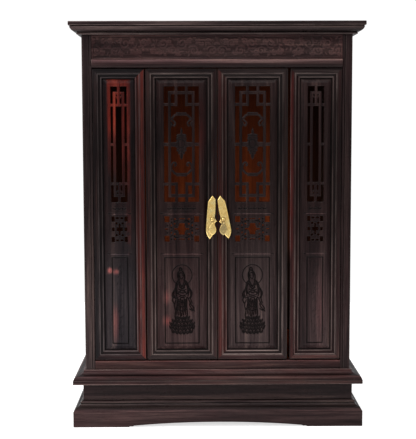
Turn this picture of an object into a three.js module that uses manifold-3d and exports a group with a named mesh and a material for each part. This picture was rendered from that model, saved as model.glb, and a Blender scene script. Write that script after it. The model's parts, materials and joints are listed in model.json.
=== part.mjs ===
// A household altar cabinet: a small rosewood shrine with a moulded crown, a stepped base,
// two pierced and hinged doors between two fixed pierced side lights, and brass drop pulls.
//
// Millimetres, +Z up. The front faces -Y. The origin is on the floor under the middle of the
// cabinet's outline, so the case is centred on X, and on Y between crown front and back.

import * as THREE from 'three';
import { mergeVertices } from 'three/addons/utils/BufferGeometryUtils.js';
import Module from 'manifold-3d';

const wasm = await Module();
wasm.setup();

// ---------------------------------------------------------------- driving dimensions

const HEIGHT = 500;
const BODY_WIDTH = 331;
const BODY_DEPTH = 215;
const OVERHANG = 14.6;        // crown, ledge and base beyond the body, in front and at both sides
const WAIST_OVERHANG = 2.8;   // waist boards beyond the body
const HAIRLINE = 0.1;         // the joint line left between two boards

const SKIRT_TOP = 23.5;       // heights, from the floor up
const WAIST_FOOT = 32;
const LEDGE_FOOT = 53.4;
const BODY_FOOT = 70;
const LEAF_FOOT = 82.2;
const LEAF_TOP = 443.6;
const FRIEZE_FOOT = 455.2;
const CROWN_FOOT = 484.7;

const SKIRT_THICKNESS = 13;
const WAIST_THICKNESS = 10;
const POST_WIDTH = 12.1;
const POST_DEPTH = 16;
const RAIL_DEPTH = 14;
const PANEL_BOARD = 8;        // thickness of the back board and of the side panels

const LEAF_SET_BACK = 1;      // leaf faces behind the faces of the posts
const LEAF_THICKNESS = 11;
const FRAME_WIDTH = 12.3;     // stiles and rails of a leaf
const DOOR_MEETING_GAP = 0.6;
const LEFT_DOOR_WIDTH = 87.8;
const RIGHT_DOOR_WIDTH = 86.7;
const LEFT_DOOR_GAP = 1.4;    // between each door and its side light: the right one hangs looser
const RIGHT_DOOR_GAP = 3;

const PIVOT_INSET = 3.4;      // the doors' pivot line, behind the face and inside the outer edge
const PIVOT_RADIUS = 1.6;
const SOCKET_RADIUS = 2;
const PIVOT_LENGTH = 5;

const UPPER_WINDOW_CENTRE = 351;   // heights of the pierced fields of a leaf
const UPPER_WINDOW_HEIGHT = 142.4;
const LOWER_WINDOW_CENTRE = 246.1;
const LOWER_WINDOW_HEIGHT = 32.2;
const DOOR_WINDOW_WIDTH = 43;
const LIGHT_WINDOW_WIDTH = 20;
const GROOVE_HEIGHTS = [265.9, 215.6];

const PULL_HEIGHT = 258.6;    // the eyes of the drop pulls, above the floor
const PLATE_THICKNESS = 1;
const EYE_RADIUS = 2.5;
const EYE_WIRE = 0.6;

const HALF = BODY_WIDTH / 2;
const FRONT = -(BODY_DEPTH + OVERHANG) / 2 + OVERHANG;   // y of the body's front plane
const BACK = (BODY_DEPTH + OVERHANG) / 2;                // y of the flush back
const POST_INNER = HALF - POST_WIDTH;
const LEAF_FRONT = FRONT + LEAF_SET_BACK;

// ---------------------------------------------------------------- finishes

const finish = (color, roughness, metalness = 0) =>
  new THREE.MeshStandardMaterial({ color, roughness, metalness });
const ROSEWOOD = finish(0x2e1c1a, 0.45);
const RED_ROSEWOOD = finish(0x4a2019, 0.45);
const INNER_WOOD = finish(0x7a3a1c, 0.6);
const BRASS = finish(0xd4b060, 0.35, 1);

// ---------------------------------------------------------------- solids and placing

const X = new THREE.Vector3(1, 0, 0);
const Y = new THREE.Vector3(0, 1, 0);
const Z = new THREE.Vector3(0, 0, 1);
const minus = (axis) => axis.clone().negate();

/** Turns a geometry so that its own x, y and z lie along three right-handed axes, at a point. */
function place(geometry, xAxis, yAxis, zAxis, x, y, z) {
  const matrix = new THREE.Matrix4().makeBasis(xAxis, yAxis, zAxis).setPosition(x, y, z);
  return geometry.applyMatrix4(matrix);
}

function solid(geometry) {
  const bare = geometry.clone();
  bare.deleteAttribute('normal');
  bare.deleteAttribute('uv');
  const merged = mergeVertices(bare, 1e-4);
  return new wasm.Manifold(new wasm.Mesh({
    numProp: 3,
    vertProperties: new Float32Array(merged.attributes.position.array),
    triVerts: new Uint32Array(merged.index.array),
  }));
}

function surface(manifold) {
  const { vertProperties, triVerts } = manifold.getMesh();
  const geometry = new THREE.BufferGeometry();
  geometry.setAttribute('position', new THREE.BufferAttribute(new Float32Array(vertProperties), 3));
  geometry.setIndex(new THREE.BufferAttribute(new Uint32Array(triVerts), 1));
  const faceted = geometry.toNonIndexed();
  faceted.computeVertexNormals();
  return faceted;
}

function outline(points) {
  return new THREE.Shape(points.map(([a, b]) => new THREE.Vector2(a, b)));
}

/** Points along an elliptical arc, angles in degrees. */
function arc(centreA, centreB, radiusA, radiusB, from, to, steps) {
  return Array.from({ length: steps + 1 }, (_, i) => {
    const angle = THREE.MathUtils.degToRad(from + ((to - from) * i) / steps);
    return [centreA + radiusA * Math.cos(angle), centreB + radiusB * Math.sin(angle)];
  });
}

/** A shape drawn on the XZ plane, as a flat piece between two depths along y. */
function flatPiece(shape, nearDepth, farDepth, curveSegments = 6) {
  const depth = farDepth - nearDepth;
  const geometry = new THREE.ExtrudeGeometry(shape, { depth, bevelEnabled: false, curveSegments });
  return place(geometry, X, Z, minus(Y), 0, farDepth, 0);
}

function slab(left, right, nearDepth, farDepth, bottom, top) {
  const geometry = new THREE.BoxGeometry(right - left, farDepth - nearDepth, top - bottom);
  return geometry.translate((left + right) / 2, (nearDepth + farDepth) / 2, (bottom + top) / 2);
}

/** A bar of constant section [across, depth]; each end is cut back by mitre times across. */
function mouldedBar(section, length, mitre = 0) {
  const geometry = new THREE.ExtrudeGeometry(outline(section), { depth: length, bevelEnabled: false });
  const position = geometry.attributes.position;
  for (let i = 0; i < position.count; i += 1) {
    const cut = mitre * position.getX(i);
    const along = position.getZ(i);
    position.setZ(i, along > length / 2 ? along - cut : along + cut);
  }
  return geometry;
}

/** A full board moulded on its front and both sides and flush behind; profile is [out, height]. */
function mouldedBoard(profile) {
  const reach = HALF + OVERHANG + 1;
  const [firstHeight, lastHeight] = [profile[0][1], profile.at(-1)[1]];
  const frontSection = outline([
    ...profile.map(([out, height]) => [FRONT - out, height]), [BACK, lastHeight], [BACK, firstHeight],
  ]);
  const alongX = new THREE.ExtrudeGeometry(frontSection, { depth: 2 * reach, bevelEnabled: false });
  const sideSection = outline([
    ...profile.map(([out, height]) => [-HALF - out, height]),
    ...profile.toReversed().map(([out, height]) => [HALF + out, height]),
  ]);
  const frontPrism = solid(place(alongX, Y, Z, X, -reach, 0, 0));
  const sidePrism = solid(flatPiece(sideSection, FRONT - OVERHANG - 1, BACK));
  return surface(frontPrism.intersect(sidePrism));
}

const cabinet = new THREE.Group();

function add(name, geometry, material = ROSEWOOD, parent = cabinet) {
  const mesh = new THREE.Mesh(geometry, material);
  mesh.name = name;
  parent.add(mesh);
  return mesh;
}

// ---------------------------------------------------------------- crown, ledge and base

/** A thin fillet at the foot, a flat ovolo between two deep quirks, and a plain fascia on top. */
function crownProfile() {
  const fasciaFoot = HEIGHT - 4.9;
  const ovolo = [[6.8, 487.6], [8.7, 488.3], [10.4, 489.3], [11.7, 490.6], [12.6, 492.1], [13.1, 493.7]];
  return [
    [0, CROWN_FOOT], [5, CROWN_FOOT], [5.4, CROWN_FOOT + 0.4], [5.4, CROWN_FOOT + 1.9],
    [4.4, CROWN_FOOT + 2.1], [4.4, CROWN_FOOT + 2.7], ...ovolo,
    [12, 494.1], [12, fasciaFoot - 0.3], [OVERHANG - 0.3, fasciaFoot], [OVERHANG, fasciaFoot + 0.3],
    [OVERHANG, HEIGHT - 0.5], [OVERHANG - 0.5, HEIGHT],
  ];
}

function ledgeProfile() {
  const bottom = LEDGE_FOOT + HAIRLINE;
  return [
    [0, bottom], [OVERHANG - 0.6, bottom], [OVERHANG, bottom + 0.6], [OVERHANG, LEDGE_FOOT + 5.2],
    ...arc(11.2, LEDGE_FOOT + 5.5, 2.8, 3.8, 0, 90, 4),
    [10.8, LEDGE_FOOT + 9.8],
    ...arc(11.2, BODY_FOOT - 1.4, 9, 5, 262, 182, 4),
    [2.2, BODY_FOOT], [0, BODY_FOOT],
  ];
}

function baseTopProfile() {
  return [
    [0, SKIRT_TOP + HAIRLINE], [11.9, SKIRT_TOP + HAIRLINE],
    ...arc(12.2, WAIST_FOOT - 3.6, 6.2, 4.2, 262, 190, 3),
    ...arc(4.6, WAIST_FOOT - 2.6, 1.7, 1.6, -50, 70, 4),
    [3.6, WAIST_FOOT], [0, WAIST_FOOT],
  ];
}

add('crown_board', mouldedBoard(crownProfile()));
add('ledge_board', mouldedBoard(ledgeProfile()));
add('base_top_board', mouldedBoard(baseTopProfile()));

/** Front, left, right and back boards around a rectangle, mitred at the two front corners. */
function boardRing(name, out, section, thickness, cutFront, cutSide) {
  const halfWidth = HALF + out;
  const front = FRONT - out;
  const sideLength = BACK - front;
  const frontBar = mouldedBar(section, 2 * halfWidth, 1);
  const frontBoard = solid(place(frontBar, Y, Z, X, -halfWidth, front, 0));
  add(`${name}_front`, surface(cutFront ? frontBoard.subtract(cutFront) : frontBoard));

  // The side board is the left one; the right one is its mirror image.
  const gap = HAIRLINE * 2;
  const sideBar = mouldedBar(section, 2 * sideLength, 1);
  const whole = solid(place(sideBar, X, Z, minus(Y), -halfWidth, front + 2 * sideLength + gap, 0));
  const keep = solid(slab(-halfWidth - 1, 0, front - 1, BACK, -1, HEIGHT));
  const left = cutSide ? whole.intersect(keep).subtract(cutSide) : whole.intersect(keep);
  add(`${name}_left`, surface(left));
  add(`${name}_right`, surface(left.mirror([1, 0, 0])));

  const heights = section.map(([, height]) => height);
  const inner = halfWidth - thickness - HAIRLINE;
  const [bottom, top] = [Math.min(...heights), Math.max(...heights)];
  add(`${name}_back`, slab(-inner, inner, BACK - thickness, BACK, bottom, top));
}

/** The low arch sawn in the underside of a skirt board, as a cutter drawn about its middle. */
function archShape(halfSpan, rise) {
  const shape = new THREE.Shape();
  shape.moveTo(-halfSpan, -1);
  shape.lineTo(-halfSpan, 0.2);
  shape.quadraticCurveTo(-halfSpan + 0.6, 1.5, -halfSpan + 3.4, 1.1);
  shape.quadraticCurveTo(-halfSpan + 5.4, 0.9, -halfSpan + 6.2, 1.9);
  shape.quadraticCurveTo(-halfSpan / 2, rise, 0, rise);
  shape.quadraticCurveTo(halfSpan / 2, rise, halfSpan - 6.2, 1.9);
  shape.quadraticCurveTo(halfSpan - 5.4, 0.9, halfSpan - 3.4, 1.1);
  shape.quadraticCurveTo(halfSpan - 0.6, 1.5, halfSpan, 0.2);
  shape.lineTo(halfSpan, -1);
  return shape;
}

const skirtSection = [
  [0.4, 0], [0, 0.4], [0, SKIRT_TOP - 4.3], [0.5, SKIRT_TOP - 3.6],
  [2.4, SKIRT_TOP - 0.4], [2.9, SKIRT_TOP], [SKIRT_THICKNESS, SKIRT_TOP], [SKIRT_THICKNESS, 0],
];
const waistSection = [
  [0, WAIST_FOOT + HAIRLINE], [0, LEDGE_FOOT], [WAIST_THICKNESS, LEDGE_FOOT],
  [WAIST_THICKNESS, WAIST_FOOT + HAIRLINE],
];
const frontArch = solid(flatPiece(archShape(111, 6.3), FRONT - OVERHANG - 1, FRONT + 1));
const sideArchGeometry = flatPiece(archShape(68, 5), -HALF - OVERHANG - 1, -HALF + 1);
const sideArch = solid(place(sideArchGeometry, minus(Y), X, Z, 0, (FRONT + BACK - OVERHANG) / 2, 0));
boardRing('base_skirt', OVERHANG, skirtSection, SKIRT_THICKNESS, frontArch, sideArch);
boardRing('waist_board', WAIST_OVERHANG, waistSection, WAIST_THICKNESS);

// ---------------------------------------------------------------- the case

/** A front post: plain outside, with a quirk and a bead along its inner front edge. */
function frontPostSection() {
  return [
    [0.8, 0], [8.2, 0], [8.5, 0.9], [8.9, 0.9],
    ...arc(10.4, 0.9, 1.5, 1, 180, 360, 5),
    [POST_WIDTH, 1.6], [POST_WIDTH, POST_DEPTH], [0, POST_DEPTH], [0, 0.8],
  ];
}

function addPosts() {
  const height = CROWN_FOOT - BODY_FOOT - 2 * HAIRLINE;
  const foot = BODY_FOOT + HAIRLINE;
  const leftPost = place(mouldedBar(frontPostSection(), height), X, Y, Z, -HALF, FRONT, foot);
  add('front_left_post', leftPost);
  const rightPost = mouldedBar(frontPostSection(), height);
  add('front_right_post', place(rightPost, minus(X), Y, minus(Z), HALF, FRONT, foot + height));
  for (const [name, side] of [['back_left_post', -1], ['back_right_post', 1]]) {
    const edges = [side * POST_INNER, side * HALF].sort((a, b) => a - b);
    add(name, slab(...edges, BACK - POST_WIDTH, BACK, foot, foot + height));
  }
}

/** The half-round rail over the leaves, with the doors' two upper sockets. */
function headRail(socketXs) {
  const bottom = LEAF_TOP + 0.9;
  const top = FRIEZE_FOOT - HAIRLINE;
  const middle = (bottom + top) / 2;
  const nose = arc(FRONT + 0.4, middle, 2.9, (top - bottom) / 2, 90, 270, 10);
  const section = outline([...nose, [FRONT + RAIL_DEPTH, bottom], [FRONT + RAIL_DEPTH, top]]);
  const length = 2 * (POST_INNER - HAIRLINE);
  const bar = new THREE.ExtrudeGeometry(section, { depth: length, bevelEnabled: false });
  return drillSockets(solid(place(bar, Y, Z, X, -length / 2, 0, 0)), socketXs, bottom - 1);
}

/** The rail under the leaves, with its top front edge eased and the doors' two lower sockets. */
function bottomRail(socketXs) {
  const bottom = BODY_FOOT + HAIRLINE;
  const top = LEAF_FOOT - 1.9;
  const face = FRONT + 0.6;
  const section = outline([
    [face, bottom], [FRONT + RAIL_DEPTH, bottom], [FRONT + RAIL_DEPTH, top],
    ...arc(face + 1.4, top - 1.4, 1.4, 1.4, 90, 180, 3),
  ]);
  const length = 2 * (POST_INNER - HAIRLINE);
  const bar = new THREE.ExtrudeGeometry(section, { depth: length, bevelEnabled: false });
  return drillSockets(solid(place(bar, Y, Z, X, -length / 2, 0, 0)), socketXs, top - PIVOT_LENGTH);
}

function drillSockets(rail, socketXs, bottom) {
  for (const x of socketXs) {
    const drill = new THREE.CylinderGeometry(SOCKET_RADIUS, SOCKET_RADIUS, PIVOT_LENGTH + 1, 14);
    drill.rotateX(Math.PI / 2);
    drill.translate(x, LEAF_FRONT + PIVOT_INSET, bottom + (PIVOT_LENGTH + 1) / 2);
    rail = rail.subtract(solid(drill));
  }
  return surface(rail);
}

/** A side wall: one wide rail above, one narrow rail below, and a fielded panel between them. */
function addSideWall(name, side) {
  const near = FRONT + POST_DEPTH + HAIRLINE;
  const far = BACK - POST_WIDTH - HAIRLINE;
  const across = (outer, inner) => [side * (HALF - outer), side * (HALF - inner)].sort((a, b) => a - b);
  const railFoot = LEAF_TOP - 2;
  add(`${name}_top_rail`, slab(...across(0.8, 11), near, far, railFoot, CROWN_FOOT - HAIRLINE));
  add(`${name}_bottom_rail`, slab(...across(0.8, 11), near, far, BODY_FOOT + HAIRLINE, LEAF_FOOT));
  const length = far - near;
  const height = railFoot - LEAF_FOOT - 2 * HAIRLINE;
  const panel = surface(fieldedPanel(length, height, 0, 6, [[3.6, 3.4], [8, 1.6]], 3.4 + PANEL_BOARD - 4));
  const facing = side < 0 ? [minus(Y), X, Z] : [Y, minus(X), Z];
  add(`${name}_panel`, place(panel, ...facing, side * HALF, side < 0 ? far : near, LEAF_FOOT + HAIRLINE));
}

/**
 * A fielded panel in its own frame: a square-edged rim from edge to rimInner, then the steps
 * [inset, depth] up to the flat field. It is the crossing of two prisms, so corners are mitred.
 */
function fieldedPanel(width, height, edge, rimInner, steps, backDepth) {
  const rimDepth = steps[0][1] + 1;
  const climb = (span) => outline([
    [edge, backDepth], [edge, rimDepth], [rimInner, rimDepth],
    ...steps.map(([inset, depth]) => [rimInner + inset - steps[0][0], depth]),
    ...steps.toReversed().map(([inset, depth]) => [span - rimInner - inset + steps[0][0], depth]),
    [span - rimInner, rimDepth], [span - edge, rimDepth], [span - edge, backDepth],
  ]);
  const upright = new THREE.ExtrudeGeometry(climb(width), { depth: height, bevelEnabled: false });
  const level = new THREE.ExtrudeGeometry(climb(height), { depth: width, bevelEnabled: false });
  return solid(upright).intersect(solid(place(level, Z, Y, minus(X), width, 0, 0)));
}

// ---------------------------------------------------------------- leaves: doors and side lights

/** Section of a leaf's stiles and rails: [inwards from the outer edge, behind the face]. */
function leafFrameSection() {
  return [
    [0, LEAF_THICKNESS], [0, 1], [0.3, 0.3], [1, 0], [4.8, 0], [5.1, 0.7],
    ...arc(6.2, 0.8, 1, 0.7, 180, 360, 4),
    [8, 1.9], [9.3, 2.3],
    ...arc(10.4, 2.3, 0.9, 0.6, 180, 360, 4),
    [11.7, 3.6], [FRAME_WIDTH, 3.8], [FRAME_WIDTH, 5.2], [9.3, 5.2], [9.3, 8.4],
    [FRAME_WIDTH, 8.4], [FRAME_WIDTH, LEAF_THICKNESS],
  ];
}

const PANEL_EDGE = 9.7;            // where the panel's tongue ends, inside the frame's groove
const PANEL_FOOT = FRAME_WIDTH + 0.3;
const FIELD_DEPTH = 2;
const BAR_NEAR = 2.5;
const BAR_FAR = 6.6;

/** A band of even width along a curve through points given on the XZ plane. */
function band(points, width, steps = 5) {
  const path = new THREE.SplineCurve(points.map(([x, z]) => new THREE.Vector2(x, z)));
  const edge = (sign) => Array.from({ length: steps + 1 }, (_, i) => {
    const point = path.getPoint(i / steps);
    const tangent = path.getTangent(i / steps);
    return [point.x - (sign * tangent.y * width) / 2, point.y + (sign * tangent.x * width) / 2];
  });
  return outline([...edge(1), ...edge(-1).reverse()]);
}

const rectangle = (left, right, bottom, top) =>
  outline([[left, bottom], [right, bottom], [right, top], [left, top]]);

const mirroredLeftRight = (points) => points.map(([x, z]) => [-x, z]);
const mirroredUpDown = (points) => points.map(([x, z]) => [x, -z]);

/** The pointed flower in the middle of a door's fretwork. */
function flowerShape() {
  const right = [[1.9, 13.2], [6.2, 11.4], [6.8, 4], [6.8, -6], [4, -11.5], [1.8, -15.5]];
  return outline([[0, 21.2], ...right, [0, -19.2], ...mirroredLeftRight(right).reverse()]);
}

/** Straight bars and curved ornaments of a door's fretwork, about the window's own middle. */
function doorFret() {
  const halfWidth = DOOR_WINDOW_WIDTH / 2 + 0.5;
  const halfHeight = UPPER_WINDOW_HEIGHT / 2 + 0.5;
  const ring = { outerX: 16.4, innerX: 12.7, outerZ: 65.3, innerZ: 61.3 };
  const uprightX = [4.4, 8.3];
  const crossZ = [47, 50.9];
  const shapes = [flowerShape()];
  for (const up of [-1, 1]) {
    const level = (a, b) => [up * a, up * b].sort((p, q) => p - q);
    shapes.push(rectangle(-ring.outerX, ring.outerX, ...level(ring.innerZ, ring.outerZ)));
    const shoulder = [[13.4, 30.5], [9.4, 35.4], [6, 37.2], [0, 37.4]];
    const arch = [...mirroredLeftRight(shoulder).slice(0, 3), ...shoulder.reverse()];
    shapes.push(band(up > 0 ? arch : mirroredUpDown(arch), 3.2, 10));
    for (const side of [-1, 1]) {
      const across = (a, b) => [side * a, side * b].sort((p, q) => p - q);
      const turned = (points) => {
        const sided = side > 0 ? points : mirroredLeftRight(points);
        return up > 0 ? sided : mirroredUpDown(sided);
      };
      shapes.push(rectangle(...across(ring.innerX, ring.outerX), ...level(0, ring.outerZ)));
      shapes.push(rectangle(...across(...uprightX), ...level(ring.outerZ - 1, halfHeight)));
      shapes.push(rectangle(...across(...uprightX), ...level(crossZ[0], ring.innerZ + 1)));
      shapes.push(rectangle(...across(uprightX[0], halfWidth), ...level(...crossZ)));
      shapes.push(band(turned([[10.6, 34], [10.4, 29], [8.2, 25.6], [5, 24.6]]), 2.6));
      shapes.push(band(turned([[13.6, 29], [11.4, 25], [11.2, 21], [13.6, 18.4]]), 2.2));
    }
  }
  for (const side of [-1, 1]) {
    const across = (a, b) => [side * a, side * b].sort((p, q) => p - q);
    shapes.push(rectangle(...across(ring.innerX + 1, halfWidth), -2.2, 2.2));
    shapes.push(rectangle(...across(6, ring.innerX + 1), -3.1, 3.1));
  }
  return shapes;
}

/** The narrow fretwork of a side light: one long ring, cross ties and a short upright. */
function lightFret() {
  const halfWidth = LIGHT_WINDOW_WIDTH / 2 + 0.5;
  const halfHeight = UPPER_WINDOW_HEIGHT / 2 + 0.5;
  const shapes = [];
  for (const up of [-1, 1]) {
    const level = (a, b) => [up * a, up * b].sort((p, q) => p - q);
    shapes.push(rectangle(-7, 7, ...level(61.3, 64.6)));
    shapes.push(rectangle(-halfWidth, halfWidth, ...level(46.8, 50)));
    shapes.push(rectangle(-1.7, 1.7, ...level(49, halfHeight)));
    for (const side of [-1, 1]) {
      const across = (a, b) => [side * a, side * b].sort((p, q) => p - q);
      shapes.push(rectangle(...across(3.7, 7), ...level(0, 64.6)));
      shapes.push(band([[side * 5, up * 61.5], [side * 2.6, up * 58], [0, up * 56]], 1.6, 4));
    }
  }
  for (const side of [-1, 1]) {
    const across = [side * 5, side * halfWidth].sort((p, q) => p - q);
    shapes.push(rectangle(...across, -1.6, 1.6));
  }
  return shapes;
}

/** Openings pierced through the small square field: corners, middle and slots. */
function smallOpenings(width) {
  const halfWidth = width / 2;
  const halfHeight = LOWER_WINDOW_HEIGHT / 2;
  const corner = { x: Math.min(6.3, width * 0.2), z: 8.6 };
  const middle = { x: Math.min(4.8, width * 0.17), z: 7.1 };
  const openings = [outline(arc(0, 0, middle.x, middle.z, 0, 330, 11))];
  for (const side of [-1, 1]) {
    for (const up of [-1, 1]) {
      const across = [side * (halfWidth - corner.x), side * halfWidth].sort((p, q) => p - q);
      const level = [up * (halfHeight - corner.z), up * halfHeight].sort((p, q) => p - q);
      openings.push(rectangle(...across, ...level));
    }
    const slot = [side * (middle.x + 1.6), side * (halfWidth - 2.4)].sort((p, q) => p - q);
    openings.push(rectangle(...slot, -0.9, 0.9));
    const cap = [side * (halfHeight - 1.9), side * halfHeight].sort((p, q) => p - q);
    openings.push(rectangle(-middle.x, middle.x, ...cap));
  }
  return openings;
}

/** A leaf's panel: fielded, pierced by the tall fretwork and the small field, grooved across. */
function leafPanel(width, windowWidth, fret) {
  const height = LEAF_TOP - LEAF_FOOT;
  const rise = [[0, 4.6], [4.6, FIELD_DEPTH]];
  let panel = fieldedPanel(width, height, PANEL_EDGE, PANEL_FOOT, rise, 8);
  const centre = width / 2;
  const half = windowWidth / 2;
  const upperMiddle = UPPER_WINDOW_CENTRE - LEAF_FOOT;
  const reach = UPPER_WINDOW_HEIGHT / 2;
  const window = slab(centre - half, centre + half, 0, 10, upperMiddle - reach, upperMiddle + reach);
  panel = panel.subtract(solid(window));
  const bars = fret.map((shape) => solid(flatPiece(shape, BAR_NEAR, BAR_FAR)));
  const fretwork = wasm.Manifold.union(bars);
  panel = panel.add(fretwork.translate([centre, 0, upperMiddle]));
  for (const opening of smallOpenings(windowWidth)) {
    const cutter = flatPiece(opening, 0, 10).translate(centre, 0, LOWER_WINDOW_CENTRE - LEAF_FOOT);
    panel = panel.subtract(solid(cutter));
  }
  const fieldEdge = PANEL_FOOT + 4.6;
  for (const grooveHeight of GROOVE_HEIGHTS) {
    const vee = mouldedBar([[-1, FIELD_DEPTH - 0.2], [1, FIELD_DEPTH - 0.2], [0, FIELD_DEPTH + 1]],
      width - 2 * fieldEdge);
    place(vee, Z, Y, minus(X), width - fieldEdge, 0, grooveHeight - LEAF_FOOT);
    panel = panel.subtract(solid(vee));
  }
  return surface(panel);
}

/** An upright round bar on a door's pivot line, between two heights. */
function pivotBar(radius, pivotX, from, to) {
  const bar = new THREE.CylinderGeometry(radius, radius, to - from, 14);
  return solid(bar.rotateX(Math.PI / 2).translate(pivotX, PIVOT_INSET, (from + to) / 2));
}

/** Round tenons at the top and foot of a door's outer stile, which it turns on. */
function withPivots(stile, pivotX, height) {
  const foot = pivotBar(PIVOT_RADIUS, pivotX, -PIVOT_LENGTH, FRAME_WIDTH);
  const head = pivotBar(PIVOT_RADIUS, pivotX, height - FRAME_WIDTH, height + PIVOT_LENGTH - 1);
  return solid(stile).add(foot).add(head);
}

/** A pull's pin goes through the meeting stile; the hole is drilled where the pin is. */
function withPinHole(stile, pinX) {
  const drill = new THREE.CylinderGeometry(1.3, 1.3, 2 * LEAF_THICKNESS, 12);
  drill.translate(pinX, LEAF_THICKNESS / 2, PULL_HEIGHT - LEAF_FOOT);
  return stile.subtract(solid(drill));
}

/** One leaf, in a group whose origin is its lower left front corner. */
function addLeaf(name, left, width, windowWidth, fret, { pivotX, pinX, wood = ROSEWOOD } = {}) {
  const leaf = new THREE.Group();
  leaf.position.set(left, LEAF_FRONT, LEAF_FOOT);
  cabinet.add(leaf);
  const height = LEAF_TOP - LEAF_FOOT;
  const section = leafFrameSection();
  const stileLength = height - 2 * HAIRLINE;
  const railLength = width - 2 * HAIRLINE;
  const stiles = {
    left: place(mouldedBar(section, stileLength, 1), X, Y, Z, 0, 0, HAIRLINE),
    right: place(mouldedBar(section, stileLength, 1), minus(X), Y, minus(Z), width, 0, height - HAIRLINE),
  };
  for (const [side, geometry] of Object.entries(stiles)) {
    const isPivot = pivotX !== undefined && (pivotX < width / 2) === (side === 'left');
    const isMeeting = pinX !== undefined && (pinX < width / 2) === (side === 'left');
    let stile = isPivot ? withPivots(geometry, pivotX, height) : solid(geometry);
    stile = isMeeting ? withPinHole(stile, pinX) : stile;
    add(`${name}_${side}_stile`, surface(stile), wood, leaf);
  }
  const rails = {
    top: place(mouldedBar(section, railLength, 1), minus(Z), Y, X, HAIRLINE, 0, height),
    bottom: place(mouldedBar(section, railLength, 1), Z, Y, minus(X), width - HAIRLINE, 0, 0),
  };
  for (const [end, geometry] of Object.entries(rails)) {
    const boring = () => pivotBar(PIVOT_RADIUS + HAIRLINE, pivotX, -1, height + 1);
    const bored = () => solid(geometry).subtract(boring());
    add(`${name}_${end}_rail`, pivotX === undefined ? geometry : surface(bored()), wood, leaf);
  }
  add(`${name}_panel`, leafPanel(width, windowWidth, fret), wood, leaf);
}

// ---------------------------------------------------------------- brass drop pulls

/** Half a butterfly: the long wing of a back plate, with its point towards the meeting line. */
function plateShape() {
  const shape = new THREE.Shape();
  shape.moveTo(1.8, 29);
  shape.quadraticCurveTo(4.2, 25.4, 6.5, 21.4);
  shape.quadraticCurveTo(7.2, 4, 7.1, -14.6);
  shape.quadraticCurveTo(6, -20.6, 1.8, -24.9);
  shape.quadraticCurveTo(-2.6, -19.6, -3.6, -13.4);
  shape.quadraticCurveTo(-3.9, -8.4, -3.4, -4.4);
  shape.lineTo(-5.9, -2.1);
  shape.quadraticCurveTo(-3.4, -0.4, -2.8, 2.2);
  shape.quadraticCurveTo(-3.4, 12, -2.4, 24.6);
  shape.quadraticCurveTo(-0.6, 27.2, 1.8, 29);
  shape.holes.push(new THREE.Path().absarc(0, 0, 1.5, 0, 2 * Math.PI));
  return shape;
}

/** The drop: a leaf of brass with a hole at its top, drawn about the centre of the eye. */
function dropShape() {
  const hang = -EYE_RADIUS - 0.4;
  const shape = new THREE.Shape();
  shape.moveTo(0, -19.6);
  shape.bezierCurveTo(-3.4, -18, -5.2, -15.4, -4.8, -12.4);
  shape.bezierCurveTo(-4.4, -9.4, -2.4, -7.6, -2.2, hang - 1);
  shape.absarc(0, hang, 2.3, Math.PI, 0, true);
  shape.bezierCurveTo(2.4, -7.6, 4.4, -9.4, 4.8, -12.4);
  shape.bezierCurveTo(5.2, -15.4, 3.4, -18, 0, -19.6);
  shape.holes.push(new THREE.Path().absarc(0, hang, 1.4, 0, 2 * Math.PI));
  return shape;
}

/** The split pin: a round eye in front, a shank through the stile, two legs bent flat behind. */
function pinSolid(eyeY) {
  const eye = new THREE.TorusGeometry(EYE_RADIUS, EYE_WIRE, 8, 16).rotateY(Math.PI / 2);
  let pin = solid(eye.translate(0, eyeY, 0));
  const shankFrom = eyeY + EYE_RADIUS - 0.3;
  const shankTo = LEAF_THICKNESS + 1.1;
  const shank = new THREE.CylinderGeometry(0.9, 0.9, shankTo - shankFrom, 10);
  pin = pin.add(solid(shank.translate(0, (shankFrom + shankTo) / 2, 0)));
  pin = pin.add(solid(slab(-0.8, 0.8, LEAF_THICKNESS + 0.3, LEAF_THICKNESS + 1.1, -6, 6)));
  return surface(pin);
}

/** Plate, pin and drop of one door; side is -1 on the left door, whose pull is the mirror image. */
function addPull(name, side, pinX, plateTilt) {
  const pull = new THREE.Group();
  pull.position.set(pinX, LEAF_FRONT, PULL_HEIGHT);
  cabinet.add(pull);
  const plateBack = -0.2;
  const eyeY = plateBack - PLATE_THICKNESS - EYE_RADIUS - 0.4;
  const plate = flatPiece(plateShape(), plateBack - PLATE_THICKNESS, plateBack, 4);
  const sided = side < 0 ? surface(solid(plate).mirror([1, 0, 0])) : plate;
  add(`${name}_plate`, sided.rotateY(side * THREE.MathUtils.degToRad(-plateTilt)), BRASS, pull);
  add(`${name}_pin`, pinSolid(eyeY), BRASS, pull);
  add(`${name}_drop`, flatPiece(dropShape(), eyeY - 0.5, eyeY + 0.5, 4), BRASS, pull);
}

// ---------------------------------------------------------------- assembly

const leftDoorLeft = -DOOR_MEETING_GAP / 2 - LEFT_DOOR_WIDTH;
const rightDoorLeft = DOOR_MEETING_GAP / 2;
const rightDoorRight = rightDoorLeft + RIGHT_DOOR_WIDTH;
const lightInner = POST_INNER - 0.3;
const leftLightRight = leftDoorLeft - LEFT_DOOR_GAP;
const rightLightLeft = rightDoorRight + RIGHT_DOOR_GAP;
const leftPinX = -6.3;
const rightPinX = 7.2;
const socketXs = [leftDoorLeft + PIVOT_INSET, rightDoorRight - PIVOT_INSET];

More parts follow.
